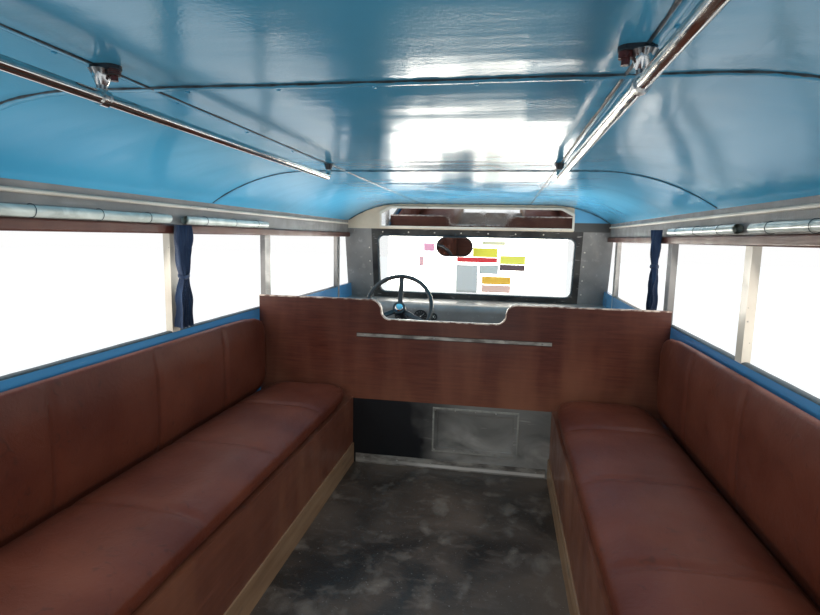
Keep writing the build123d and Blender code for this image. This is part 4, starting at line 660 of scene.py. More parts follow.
def partition_metal():
    """The board's aluminium strip and kick strip, with a painted highlight line along the kick strip, and the cream
    piping over its top edge.
    """
    finish = Finish("partition_metal")
    piping = finish.scaled(finish.part_of("Z"), 0.755, 0.760)
    rub = finish.noise(48.0, 5.0, stretch=(0.3, 1.0, 1.0))
    low = finish.maths("ABSOLUTE", finish.maths("SUBTRACT", finish.part_of("Z"), 0.124))
    # painted highlight: a bright line along the kick strip, stronger towards the right
    painted_highlight_line = finish.maths("MULTIPLY", finish.scaled(low, 0.005, 0.010, 1.0, 0.0),
                             finish.scaled(finish.part_of("X"), -0.28, -0.05, 0.15, 1.0))
    edge = finish.maths("ABSOLUTE", finish.maths("SUBTRACT", finish.part_of("Z"), 0.728))
    edge = finish.maths("MULTIPLY", finish.scaled(edge, 0.0060, 0.0085),
                        finish.maths("GREATER_THAN", finish.part_of("Z"), 0.6))
    metal = finish.blend(finish.scaled(rub, 0.38, 0.62), (0.46, 0.435, 0.39), (0.17, 0.155, 0.14))
    metal = finish.blend(painted_highlight_line, metal, (0.90, 0.87, 0.82))
    metal = finish.blend(edge, metal, (0.030, 0.018, 0.015))
    cream = finish.blend(finish.scaled(finish.noise(34.0, 4.0), 0.42, 0.62), (0.60, 0.46, 0.38), (0.13, 0.055, 0.040))
    finish.raise_by(rub, 0.0009)
    return finish.give(colour=finish.blend(piping, metal, cream), metal=finish.scaled(piping, 0.0, 1.0, 0.60, 0.0),
                       rough=finish.scaled(rub, 0.3, 0.7, 0.28, 0.52))


def window_glass():
    """Clear glass with a film of dust at its edges."""
    finish = Finish("window_glass", colour=(0.97, 0.99, 0.985), through=1.0, ior=1.45)
    return finish.give(rough=finish.scaled(finish.noise(6.0, 5.0), 0.5, 0.8, 0.0, 0.06))


def mirror_plate():
    """Silvered glass with faint smears."""
    finish = Finish("mirror_plate", colour=(0.80, 0.80, 0.80), metal=1.0)
    facing = finish.tree.nodes.new("ShaderNodeNewGeometry")
    tilt = finish.tree.nodes.new("ShaderNodeVectorMath")
    tilt.operation = "ADD"
    finish.tree.links.new(facing.outputs["Normal"], tilt.inputs[0])
    tilt.inputs[1].default_value = (0.0, 0.0, -0.17)
    finish.tree.links.new(tilt.outputs["Vector"], finish.shader.inputs["Normal"])
    return finish.give(rough=finish.scaled(finish.noise(9.0, 4.0), 0.45, 0.75, 0.01, 0.09))


def black_plastic():
    """Moulded black plastic with a fine grain, polished by hands in places."""
    finish = Finish("black_plastic")
    hands = finish.noise(8.0, 4.0)
    finish.raise_by(finish.cells(900.0), 0.00012)
    return finish.give(colour=finish.blend(finish.scaled(hands, 0.4, 0.7), (0.018, 0.018, 0.019), (0.040, 0.038, 0.037)),
                       rough=finish.scaled(hands, 0.3, 0.7, 0.28, 0.5))


def curtain_cloth():
    """Dark blue plain weave with a painted highlight on its ridges, and slubs along the threads."""
    finish = Finish("curtain_cloth", sheen=0.25, sheen_rough=0.5, rough=0.85)
    warp = finish.bands(420.0, "Y", 0.4)
    weft = finish.bands(420.0, "Z", 0.4)
    weave = finish.maths("MULTIPLY", warp, weft)
    # painted highlight: paler where the weave is raised
    blue = finish.blend(finish.scaled(weave, 0.0, 1.0), (0.008, 0.020, 0.055), (0.020, 0.052, 0.125))
    slub = finish.scaled(finish.noise(60.0, 3.0, stretch=(1.0, 1.0, 0.06)), 0.5, 0.75, 0.0, 0.5)
    finish.raise_by(weave, 0.0003)
    return finish.give(colour=finish.blend(slub, blue, (0.035, 0.085, 0.19)))


def clear_vinyl():
    """Clear sheet rolled on itself: milky green white, creased, with dust in the turns."""
    finish = Finish("clear_vinyl", coat=0.6, coat_rough=0.08, under=0.0)
    crease = finish.noise(16.0, 5.0, stretch=(1.0, 0.5, 1.0), wander=1.5)
    milky = finish.blend(finish.scaled(crease, 0.35, 0.7), (0.62, 0.68, 0.62), (0.36, 0.40, 0.36))
    finish.raise_by(crease, 0.0022)
    return finish.give(colour=milky, rough=finish.scaled(crease, 0.3, 0.7, 0.12, 0.32))


def deck_ply():
    """Tan painted plywood, scuffed paler and darker along its length."""
    finish = Finish("deck_ply", coat=0.12)
    grain = finish.noise(20.0, 5.0, stretch=(1.0, 0.12, 1.0))
    tan_paint = finish.blend(finish.scaled(grain, 0.35, 0.7), (0.30, 0.185, 0.105), (0.19, 0.108, 0.060))
    scuff = finish.scaled(finish.noise(30.0, 5.0, stretch=(1.0, 0.3, 1.0)), 0.60, 0.72, 0.0, 0.6)
    finish.raise_by(grain, 0.0005)
    return finish.give(colour=finish.blend(scuff, tan_paint, (0.10, 0.075, 0.055)),
                       rough=finish.scaled(grain, 0.3, 0.7, 0.40, 0.65))


def sealant():
    """Dark seam sealant, gone hard and uneven."""
    finish = Finish("sealant")
    lump = finish.noise(85.0, 4.0)
    finish.raise_by(lump, 0.0009)
    return finish.give(colour=finish.blend(finish.scaled(lump, 0.4, 0.7), (0.012, 0.022, 0.030), (0.040, 0.075, 0.095)),
                       rough=finish.scaled(lump, 0.3, 0.7, 0.35, 0.6))


def card(name, colour):
    """Thin printed card with the light behind it, mottled as paper is; the light through it is a painted glow."""
    finish = Finish(name, rough=0.7)
    pale = tuple(0.15 + 0.85 * part for part in colour)
    fibre = finish.noise(120.0, 4.0)
    tone = finish.blend(finish.scaled(fibre, 0.3, 0.75, 0.0, 0.35), colour, pale)
    finish.raise_by(fibre, 0.0001)
    # painted glow: the card's colour given off as light, in place of the light behind it
    finish.wire(tone, finish.shader.inputs["Emission Color"])
    finish.shader.inputs["Emission Strength"].default_value = 0.30
    return finish.give(colour=tone)


def dial_white():
    """Printed white of the dial marks and needles."""
    finish = Finish("dial_white", rough=0.5)
    return finish.give(colour=finish.blend(finish.scaled(finish.noise(300.0), 0.3, 0.7),
                                           (0.75, 0.74, 0.70), (0.60, 0.58, 0.52)))


FINISHES = {
    "ceiling_paint": ceiling_paint(), "body_paint": body_paint(), "cream_paint": cream_paint(),
    "grey_paint": grey_paint(), "dark_steel": dark_steel(), "maroon_board": maroon_board(),
    "brown_vinyl": brown_vinyl(), "floor_rubber": floor_rubber(), "chrome": chrome(),
    "aluminium": aluminium(), "window_glass": window_glass(), "mirror_plate": mirror_plate(),
    "black_plastic": black_plastic(), "curtain_cloth": curtain_cloth(), "clear_vinyl": clear_vinyl(),
    "deck_ply": deck_ply(),
}
SPECIAL = {
    "partition_trim": partition_metal(), "partition_lower": partition_steel(), "front_header": header_paint(),
    "grab_rails": rail_metal(), "rail_posts": post_metal(),
}
SEALANT = sealant()


def dress_frame():
    """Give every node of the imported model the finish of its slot."""
    for entry in frame["record"]["subparts"]:
        obj = frame["nodes"][entry["node"]]
        finish = SPECIAL.get(entry["node"], FINISHES[entry["material_slot"]])
        if not obj.material_slots:
            obj.data.materials.append(finish)
        for place in obj.material_slots:
            place.material = finish


# Ceiling

def long_path(x, wobble, steps=420):
    """A line along the ceiling at x, with a slow wobble of a few sines."""
    y = np.linspace(REAR_IN + 0.004, HEADER_Y - 0.004, steps)
    drift = wobble * (np.sin(7.3 * y + 3 * x) + 0.6 * np.sin(19.1 * y + x) + 0.4 * np.sin(47.0 * y))
    return np.stack([x + drift, y, np.full(steps, CEILING)], axis=-1)


def cross_path(y, wobble, steps=240):
    """A line across the ceiling at y, down the crown to both walls, with a slow wobble."""
    x = np.linspace(-HALF_IN + 0.006, HALF_IN - 0.006, steps)
    drift = wobble * (np.sin(9.0 * x + 5 * y) + 0.7 * np.sin(23.0 * x + y) + 0.4 * np.sin(61.0 * x))
    return np.stack([x, y + drift, crown(x)], axis=-1)


def uneven(path, size, share=0.3):
    """A width along a path that swells and thins: size * (1 + share * sum of sines)."""
    run = path[:, 0] * 3.1 + path[:, 1]
    return size * (1 + share * (0.5 * np.sin(31.0 * run) + 0.3 * np.sin(83.0 * run) + 0.2 * np.sin(171.0 * run)))


def ceiling_seams():
    """Dark sealant squeezed along every seam of the lining."""
    beads = []
    for x in (-LONG_SEAM_X, LONG_SEAM_X):
        path = long_path(x, 0.0007)
        beads.append(bead(path, (1, 0, 0), (0, 0, -1), uneven(path, 0.0058), uneven(path, 0.0020)))
    for y in CROSS_SEAM_Y:
        path = cross_path(y, 0.0016)
        beads.append(bead(path, (0, -1, 0), crown_inward(path[:, 0]), uneven(path, 0.0068, 0.5), uneven(path, 0.0026)))
    path = cross_path(HEADER_Y - 0.0050, 0.0008)
    beads.append(bead(path, (0, -1, 0), crown_inward(path[:, 0]), uneven(path, 0.0100), uneven(path, 0.0050)))
    piece("seam_sealant", joined(beads), SEALANT)


def lap_edges():
    """The raised lap of each panel in front of its seam, painted over."""
    laps = []
    for y in CROSS_SEAM_Y:
        path = cross_path(y + 0.0150, 0.0012)
        laps.append(bead(path, (0, -1, 0), crown_inward(path[:, 0]), 0.0200, uneven(path, 0.0022, 0.25), steps=9))
    for side in (-1, 1):
        path = long_path(side * (LONG_SEAM_X + 0.0095), 0.0006)
        laps.append(bead(path, (1, 0, 0), (0, 0, -1), 0.0105, 0.0011))
    piece("lap_edges", joined(laps), FINISHES["ceiling_paint"])


def ceiling_rivets():
    """Small painted rivets beside the seams."""
    spots = []
    for side in (-1, 1):
        for y in np.arange(REAR_IN + 0.12, HEADER_Y - 0.05, 0.282):
            spots.append((side * (LONG_SEAM_X + 0.019), y, CEILING_SHEET_Z))
    flat = [x for x in np.arange(-0.33, 0.34, 0.165)]
    for y in CROSS_SEAM_Y:
        spots += [(x, y + 0.031, CEILING_SHEET_Z) for x in flat]
    piece("ceiling_rivets", copies(aimed(dome(0.0042, 0.0022), (0, 0, -1)), spots), FINISHES["ceiling_paint"])


def post_sleeves():
    """Fluted chrome trumpets over the stems of the rail posts: radius swells upwards, eight flutes round it."""
    height = np.linspace(0.0, 1.0, 30)[:, None]
    turn = np.linspace(0, 2 * pi, 96, endpoint=False)[None, :]
    swell = 0.0072 + 0.0092 * height**1.8
    radius = swell * (1 + (0.04 + 0.07 * height) * np.abs(np.cos(4 * turn)))
    z = 1.3870 + (POST_PLATE_LOW - 0.0003 - 1.3870) * height + 0 * turn
    points = np.stack([radius * np.cos(turn), radius * np.sin(turn), z], axis=-1).reshape(-1, 3)
    sleeve = (points, grid_faces(30, 96, wrap=True))
    places = [(side * RAIL_X, RAIL_POST_Y, 0.0) for side in (-1, 1)]
    obj = piece("post_sleeves", copies(sleeve, places), dull_chrome())
    wall = obj.modifiers.new("wall", "SOLIDIFY")
    wall.thickness = 0.0006
    wall.offset = -1.0


def post_fixings():
    """A thin gasket over each post plate, rims between the left post's pads, and a gasket at each rail foot."""
    gasket = aimed(slab(oval(0.046, 0.029, 40, 2.6), 0.0014), (0, 0, -1))
    posts = [(side * (RAIL_X - 0.0075), RAIL_POST_Y, CEILING - 0.0046) for side in (-1, 1)]
    foot = aimed(slab(oval(0.034, 0.034, 36), 0.0016), (0, 0, -1))
    feet = [(side * RAIL_X, y, CEILING - 0.0002) for side in (-1, 1) for y in RAIL_ENDS_Y]
    piece("post_gaskets", joined([copies(gasket, posts), copies(foot, feet)]), SEALANT,
          smooth=False)
    washer = aimed(slab(oval(0.0196, 0.0196, 28), 0.0012), (0, 0, -1))
    rims = [(-POST_BOLT_X, RAIL_POST_Y, z) for z in (1.4130, 1.4100, 1.4070)]
    piece("post_washers", copies(washer, rims), FINISHES["dark_steel"], smooth=False)


# Windscreen and mirrors

def screen_rivets():
    """Pale rivets along the dark band over the windscreen and down the corner panels."""
    across = np.arange(-0.66, 0.67, 0.19)
    face = 0.0150
    z = 1.216
    places = [(x, screen_y(z, face), z) for x in across]
    normal = (0, -cos(SCREEN_RAKE), -sin(SCREEN_RAKE))
    for side in (-1, 1):
        places += [(side * 0.765, screen_y(h, face), h) for h in np.arange(0.80, 1.20, 0.10)]
    piece("screen_rivets", copies(aimed(dome(0.0055, 0.0030), normal), places), FINISHES["cream_paint"])


def screen_seal():
    """Rubber round the windscreen opening: a tube along a rounded rectangle in the raked plane."""
    half, corner = 0.699, 0.045
    low, high = 0.770, 1.193
    quarter = np.linspace(0, pi / 2, 10)
    x, z = [], []
    for cx, cz, start in ((half - corner, high - corner, 0.0), (-half + corner, high - corner, pi / 2),
                          (-half + corner, low + corner, pi), (half - corner, low + corner, 3 * pi / 2)):
        x.append(cx + corner * np.cos(start + quarter))
        z.append(cz + corner * np.sin(start + quarter))
    x, z = np.concatenate(x), np.concatenate(z)
    rings = [tube(np.stack([x, screen_y(z, face), z], axis=-1), 0.0055, 10, closed=True) for face in (0.0135, -0.0135)]
    piece("screen_seal", joined(rings), SEALANT)


# middle across, middle height, width, height, colour
CARDS = {
    "card_yellow_high": (0.083, 1.082, 0.176, 0.066, (0.90, 0.80, 0.06)),
    "card_red": (0.026, 1.028, 0.290, 0.036, (0.75, 0.03, 0.04)),
    "card_yellow_right": (0.278, 1.033, 0.178, 0.060, (0.88, 0.82, 0.10)),
    "card_dark": (0.278, 0.978, 0.178, 0.044, (0.10, 0.05, 0.06)),
    "card_orange": (0.168, 0.881, 0.208, 0.058, (0.92, 0.52, 0.05)),
    "card_pale_pink": (0.168, 0.819, 0.208, 0.056, (0.85, 0.55, 0.46)),
    "card_white_tall": (-0.046, 0.888, 0.158, 0.205, (0.60, 0.62, 0.60)),
    "card_white_small": (0.112, 0.960, 0.136, 0.064, (0.56, 0.61, 0.58)),
    "card_pale_strip": (0.141, 1.150, 0.160, 0.024, (0.70, 0.68, 0.42)),
    "card_pink": (-0.322, 1.112, 0.078, 0.058, (0.92, 0.40, 0.55)),
    "card_rose": (-0.379, 1.010, 0.034, 0.070, (0.90, 0.50, 0.52)),
}


def screen_cards():
    """Blank coloured cards on the inside of the glass, their corners lifting a little."""
    for name, (x, z, width, height, colour) in CARDS.items():
        u = np.linspace(-0.5, 0.5, 13)[None, :]
        v = np.linspace(-0.5, 0.5, 9)[:, None]
        lift = 0.0040 + 0.0030 * (2 * np.abs(u)) ** 3 * (2 * np.abs(v)) ** 2
        high = z + height * v + 0 * u
        points = np.stack([x + width * u + 0 * v, screen_y(high, lift), high], axis=-1)
        obj = piece(name, (points.reshape(-1, 3), grid_faces(9, 13)), card(name, colour))
        wall = obj.modifiers.new("wall", "SOLIDIFY")
        wall.thickness = 0.0006


# Partition

def partition_screws():
    """Screws along the aluminium strip, the kick strip, the hatch frame and the board's foot."""
    x = np.arange(-0.40, 0.41, 0.16)
    places = [(a, PARTITION_Y - 0.0020, z) for a in x for z in (0.728, 0.134)]
    across = np.linspace(HATCH_LEFT + 0.011, HATCH_RIGHT - 0.011, 5)
    places += [(a, PARTITION_Y - 0.0040, z) for a in across for z in (HATCH_LOW + 0.011, HATCH_HIGH - 0.011)]
    piece("partition_screws", copies(aimed(dome(0.0040, 0.0018), (0, -1, 0)), places), FINISHES["aluminium"])


# Seats

def pad_shape(low, high, crown_by, pull, top, rows=150, columns=64):
    """A stuffed block between two corners, long in Y or X, as one closed surface.

    Each station t has a superellipse of power 5 round it. Its half width is pulled in by pull * (1 - t^2), so the
    sides draw in between the corners, and the side named top swells by crown_by * (1 - u^2) * (1 - t^4).
    """
    low, high = np.asarray(low, dtype=float), np.asarray(high, dtype=float)
    middle, half = (low + high) / 2, (high - low) / 2
    long_axis = int(np.argmax(half[:2]))
    wide_axis = 1 - long_axis
    t = np.sin(np.linspace(-pi / 2, pi / 2, rows))[:, None]
    turn = np.linspace(0, 2 * pi, columns, endpoint=False)[None, :]
    shrink = np.maximum(1 - np.abs(t) ** 14, 0.0) ** (1 / 6)
    c, s = np.cos(turn), np.sin(turn)
    u = np.sign(c) * np.abs(c) ** 0.4
    w = np.sign(s) * np.abs(s) ** 0.4
    across = half[wide_axis] * u * shrink * (1 - pull * (1 - t**2))
    along = half[long_axis] * t * (1 - 0.4 * pull * (1 - u**2) * t**2) + 0 * turn
    up = half[2] * w * shrink
    points = np.zeros((rows, columns, 3))
    points[..., wide_axis] = middle[wide_axis] + across
    points[..., long_axis] = middle[long_axis] + along
    points[..., 2] = middle[2] + up
    axis, sign = top
    face = {0: (w if wide_axis == 1 else u), 1: (w if wide_axis == 0 else u), 2: w}
    toward = u if axis == wide_axis else w
    other = w if axis == wide_axis else u
    swell = crown_by * (1 - other**2) * (1 - t**4) * np.maximum(sign * toward, 0.0)
    points[..., axis] += sign * swell
    faces = grid_faces(rows, columns, wrap=True)
    if wide_axis == 0:
        faces = [face[::-1] for face in faces]
    faces.append(list(range(columns)) if wide_axis == 0 else list(range(columns))[::-1])
    last = list(range((rows - 1) * columns, rows * columns))
    faces.append(last[::-1] if wide_axis == 0 else last)
    return points.reshape(-1, 3), faces


def mesh_points(mesh):
    """Points of a mesh as an array."""
    points = np.empty(len(mesh.vertices) * 3)
    mesh.vertices.foreach_get("co", points)
    return points.reshape(-1, 3)


def puffed(obj, voxel, cap, pressure=4.0):
    """Remesh a pad and let air swell it as cloth, each point kept within cap of where it starts."""
    remesh = obj.modifiers.new("remesh", "REMESH")
    remesh.mode = "VOXEL"
    remesh.voxel_size = voxel
    remesh.use_smooth_shade = True
    view = bpy.context.evaluated_depsgraph_get()
    mesh = bpy.data.meshes.new_from_object(obj.evaluated_get(view))
    obj.modifiers.clear()
    obj.data = mesh
    start = mesh_points(mesh)
    cloth = obj.modifiers.new("cloth", "CLOTH")
    cloth.settings.quality = 4
    cloth.settings.mass = 0.25
    cloth.settings.tension_stiffness = 12.0
    cloth.settings.compression_stiffness = 6.0
    cloth.settings.bending_stiffness = 0.4
    cloth.settings.use_pressure = True
    cloth.settings.uniform_pressure_force = pressure
    cloth.settings.effector_weights.gravity = 0.0
    scene = bpy.context.scene
    for number in range(1, 21):
        scene.frame_set(number)
    view = bpy.context.evaluated_depsgraph_get()
    swollen = mesh_points(obj.evaluated_get(view).to_mesh())
    move = swollen - start
    length = np.maximum(np.linalg.norm(move, axis=1), 1e-9)
    move *= np.minimum(1.0, cap / length)[:, None]
    obj.modifiers.clear()
    scene.frame_set(1)
    mesh.vertices.foreach_set("co", (start + move).ravel())
    mesh.update()


def seamed(obj, stations, along, top, low, high, depth=0.011, width=0.012):
    """Press sewn channels into a pad: each sinks by depth * exp(-((run - station) / width)^2)."""
    points = mesh_points(obj.data)
    axis, sign = top
    middle = (low[axis] + high[axis]) / 2
    near = np.exp(-(((points[:, along][:, None] - np.asarray(stations)[None, :]) / width) ** 2)).sum(axis=1)
    facing = np.clip(sign * (points[:, axis] - middle) / ((high[axis] - low[axis]) / 2), 0.0, 1.0)
    points[:, axis] -= sign * depth * near * facing
    points = np.clip(points, low, high)
    obj.data.vertices.foreach_set("co", points.ravel())
    obj.data.update()


def finished_pad(obj):
    """Smooth and subdivide a pad, with smooth shading."""
    smooth = obj.modifiers.new("smooth", "SMOOTH")
    smooth.iterations = 2
    smooth.factor = 0.4
    finer = obj.modifiers.new("finer", "SUBSURF")
    finer.levels = 1
    finer.render_levels = 1
    obj.data.polygons.foreach_set("use_smooth", np.ones(len(obj.data.polygons), dtype=bool))


def upholstered(name, low, high, node, top, crown_by, pull, voxel, cap, stations, along):
    """One pad with its channels, in place of a soft solid."""
    low, high = np.asarray(low, dtype=float), np.asarray(high, dtype=float)
    room = np.array([cap, cap, cap]) * 0.6
    room[top[0]] += crown_by * 0.5
    start_low, start_high = low + room, high - room
    if top[0] == 2:
        start_low[2] = low[2] + 0.001
    shape = pad_shape(start_low, start_high, crown_by, pull, top)
    obj = piece(name, shape, FINISHES["brown_vinyl"])
    puffed(obj, voxel, cap)
    limit_low, limit_high = low.copy(), high.copy()
    if top[1] > 0:
        limit_high[top[0]] += 0.008
    else:
        limit_low[top[0]] -= 0.008
    seamed(obj, stations, along, top, limit_low, limit_high)
    finished_pad(obj)
    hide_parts(node)
    return obj


def mirrored_pad(obj, name, node):
    """The same pad on the other side of the body."""
    mesh = obj.data.copy()
    points = mesh_points(mesh) * np.array([-1.0, 1.0, 1.0])
    mesh.vertices.foreach_set("co", points.ravel())
    mesh.flip_normals()
    twin = bpy.data.objects.new(name, mesh)
    bpy.context.scene.collection.objects.link(twin)
    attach(twin, "cabin")
    finished_pad(twin)
    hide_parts(node)
    return twin


def welt(name, corners, radius, side_piece="brown_vinyl"):
    """A piped welt: a round cord along straight runs with rounded corners."""
    path = []
    corners = np.asarray(corners, dtype=float)
    for a, b in zip(corners[:-1], corners[1:]):
        path.append(a + (b - a) * np.linspace(0.0, 1.0, 60, endpoint=False)[:, None])
    path = np.concatenate(path + [corners[-1:]])
    kernel = np.ones(7) / 7
    padded_path = np.concatenate([np.repeat(path[:1], 3, axis=0), path, np.repeat(path[-1:], 3, axis=0)])
    path = np.stack([np.convolve(padded_path[:, i], kernel, mode="valid") for i in range(3)], axis=-1)
    return piece(name, tube(path, radius, 10), FINISHES[side_piece])


def bench_pads():
    """Long cushion and backrest of each bench, sewn across between the places."""
    low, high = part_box("bench_cushions")
    seams = np.linspace(low[1], high[1], 8)[1:-1]
    cushion = upholstered("bench_cushion_right", (0.440, low[1], low[2]), (high[0], high[1], high[2]),
                          "bench_cushions", (2, 1), 0.010, 0.010, 0.011, 0.010, seams, 1)
    mirrored_pad(cushion, "bench_cushion_left", "bench_cushions")
    low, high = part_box("bench_backrests")
    back = upholstered("bench_backrest_right", (0.865, low[1], low[2]), (high[0], high[1], high[2]),
                       "bench_backrests", (0, -1), 0.006, 0.006, 0.011, 0.008, seams, 1)
    mirrored_pad(back, "bench_backrest_left", "bench_backrests")


def cab_seat_pads():
    """Cushion and backrest of the driver's and the passengers' seat."""
    for name, seams_in in (("driver_seat", 3), ("passenger_seat", 5)):
        low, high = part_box(name)
        seams = np.linspace(low[0], high[0], seams_in + 2)[1:-1]
        back_front = low[1] + 0.075
        upholstered(name + "_back", (low[0], low[1], low[2]), (high[0], back_front, high[2]), name, (1, 1),
                    0.010, 0.02, 0.0085, 0.010, seams, 0)
        upholstered(name + "_cushion", (low[0], back_front + 0.0006, low[2]), (high[0], high[1], low[2] + 0.100),
                    name, (2, 1), 0.012, 0.02, 0.0085, 0.010, seams, 0)


# Curtains

def gathered(name, middle_x, y0, y1, z0, z1, tie, node, folds=6):
    """A curtain gathered into folds and tied: across the cloth s and down it t.

    The half width is waist + (full - waist) * |t - tie|, the fold depth amplitude * sin(2 pi folds s + lean).
    """
    rows, columns = 90, 220
    t = np.linspace(0, 1, rows)[:, None]
    s = np.linspace(-1, 1, columns)[None, :]
    half = (y1 - y0) / 2
    away = np.minimum(np.abs(t - tie) / 0.35, 1.0)
    spread = half * (0.42 + 0.58 * (away**1.3 * (3 - 2 * away) / 1.0).clip(0, 1)) * 0.96
    lean = 1.1 * np.sin(4.0 * t + 1.0) + 0.35 * np.sin(17.0 * t)
    depth = 0.0135 * (0.80 + 0.20 * away) * (1 + 0.18 * np.sin(9.0 * s + 3.0 * t))
    x = middle_x + depth * np.sin(pi * folds * s + lean) + 0.0018 * np.sin(23.0 * t + 5.0 * s)
    y = (y0 + y1) / 2 + spread * (s + 0.05 * np.sin(2 * pi * folds * s + lean))
    z = z1 - (z1 - z0) * t * (1 - 0.012 * np.cos(pi * folds * s)) + 0 * s
    points = np.stack([x, y, z], axis=-1)
    obj = piece(name, (points.reshape(-1, 3), grid_faces(rows, columns)), FINISHES["curtain_cloth"])
    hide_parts(node)
    turn = np.linspace(0, 2 * pi, 40, endpoint=False)
    z_tie = z1 - (z1 - z0) * tie
    ring = np.stack([middle_x + 0.0165 * np.cos(turn), (y0 + y1) / 2 + half * 0.46 * np.sin(turn),
                     z_tie + 0.003 * np.sin(2 * turn)], axis=-1)
    band = piece(name + "_tie", tube(ring, 0.0030, 10, closed=True, flatten=2.4), FINISHES["curtain_cloth"])


def tied_curtains():
    """The curtain at the right door post and the one at a left pillar."""
    gathered("curtain_right", 0.8847, 0.848, 0.932, 0.850, 1.235, 0.42, "tied_curtains")
    gathered("curtain_left", -0.8847, -0.007, 0.077, 0.850, 1.205, 0.50, "tied_curtains")


def rolled_sheet(name, x, y, z, length, side):
    """A clear sheet rolled up: radius grows from 4 to 16.6 mm over five and a half turns, with soft dents."""
    rows, columns = 70, 150
    run = np.linspace(-0.5, 0.5, rows)[:, None]
    turn = np.linspace(0, 5.5 * 2 * pi, columns)[None, :]
    share = turn / turn.max()
    radius = 0.0040 + 0.0126 * share
    radius = radius * (1 - 0.05 * (1 + np.sin(11.0 * run + 2.0 * turn / pi + y)) * share)
    angle = side * turn + 0.35 * np.sin(6.0 * run + 3 * y)
    slip = 0.004 * np.sin(turn * 0.9 + y) * (2 * np.abs(run)) ** 6
    points = np.stack([x + radius * np.cos(angle), y + (length - 0.009) * run + slip, z + radius * np.sin(angle)], axis=-1)
    obj = piece(name, (points.reshape(-1, 3), grid_faces(rows, columns)), FINISHES["clear_vinyl"])
    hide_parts("rolled_curtains")
    straps = []
    for place in (-0.31, 0.02, 0.33):
        around = np.linspace(0, 2 * pi, 36, endpoint=False)
        ring = np.stack([x + 0.0166 * np.cos(around), np.full(36, y + place * length), z + 0.0166 * np.sin(around)], axis=-1)
        straps.append(tube(ring, 0.0009, 8, closed=True, flatten=1.0))
    band = piece(name + "_straps", joined(straps), SEALANT)


def rolled_curtains():
    """A rolled sheet over each window bay, both sides."""
    low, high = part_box("rolled_curtains")
    radius = (high[2] - low[2]) / 2
    for bay in range(4):
        y = FIRST_BAY_Y - 0.0650 + 0.0650 - bay * WINDOW_PITCH
        for side, word in ((1, "right"), (-1, "left")):
            rolled_sheet(f"rolled_sheet_{word}_{bay + 1}", side * (high[0] - radius), y, (low[2] + high[2]) / 2,
                         WINDOW_PITCH - 0.090, side)


# Cab

def gauge_faces():
    """Dial marks and needles in the gauge housings: ticks in an arc of 270 degrees."""
    face_normal = np.array([0.0, -0.170, -0.025])
    face_normal = face_normal / np.linalg.norm(face_normal)
    marks = []
    for across, radius, needle in ((-0.075, 0.048, 0.6), (0.060, 0.048, -0.9), (0.150, 0.028, 0.2)):
        middle = np.array([WHEEL_MIDDLE[0] + across, 1.990 + 0.025 * 95 / 170, 0.730 - 0.095])
        middle = middle + face_normal * 0.0042
        for number, turn in enumerate(np.radians(np.linspace(-135, 135, 10))):
            size = 0.0016 if number % 3 else 0.0024
            r = radius - 0.0125
            tick = brick((-size / 2, r - 0.004, 0.0), (size / 2, r, 0.0006))
            points, faces = tick
            spin = np.array([[cos(turn), -sin(turn), 0], [sin(turn), cos(turn), 0], [0, 0, 1]])
            marks.append(aimed((points @ spin.T, faces), face_normal, middle))
        points, faces = brick((-0.0009, -0.006, 0.0006), (0.0009, radius - 0.018, 0.0014))
        spin = np.array([[cos(needle), -sin(needle), 0], [sin(needle), cos(needle), 0], [0, 0, 1]])
        marks.append(aimed((points @ spin.T, faces), face_normal, middle))
        marks.append(aimed(dome(0.0045, 0.0022), face_normal, middle))
    piece("gauge_marks", joined(marks), dial_white(), smooth=False)


def horn_button():
    """A domed button on the hub of the steering wheel."""
    normal = np.array([0.0, -cos(WHEEL_TILT), sin(WHEEL_TILT)])
    middle = WHEEL_MIDDLE + normal * (-0.035 + 0.023 - 0.0002)
    piece("horn_button", aimed(dome(0.026, 0.009, 32, 8), normal, middle), FINISHES["chrome"], body="steering")


def door_fittings():
    """Latch handle and window-sill rubber on the inside of each door."""
    for side, body in ((1, "right_door"), (-1, "left_door")):
        inner = 0.910
        lever = tube([(inner - 0.016, 1.00 + 0.10 * t, 0.62 + 0.012 * t) for t in np.linspace(0, 1, 14)],
                     np.linspace(0.0075, 0.0045, 14), 12)
        rose = aimed(dome(0.022, 0.010, 28, 6), (-1, 0, 0), (inner, 1.00, 0.62))
        stem = aimed(turned_shape([(0.0001, 0.0), (0.007, 0.0), (0.007, 0.018), (0.0001, 0.018)], 16), (-1, 0, 0),
                     (inner, 1.00, 0.62))
        shape = joined([lever, rose, stem])
        shape = shape if side > 0 else mirror_x(shape)
        piece(f"{body}_latch", shape, FINISHES["chrome"], body=body)
        y = np.linspace(0.845, 1.895, 30)
        cap = bead(np.stack([np.full(30, side * 0.9275), y, np.full(30, SILL - 0.0004)], axis=-1), (side, 0, 0), (0, 0, 1),
                   0.030, 0.006, 9)
        piece(f"{body}_sill_rubber", cap, SEALANT, body=body)


# Outside

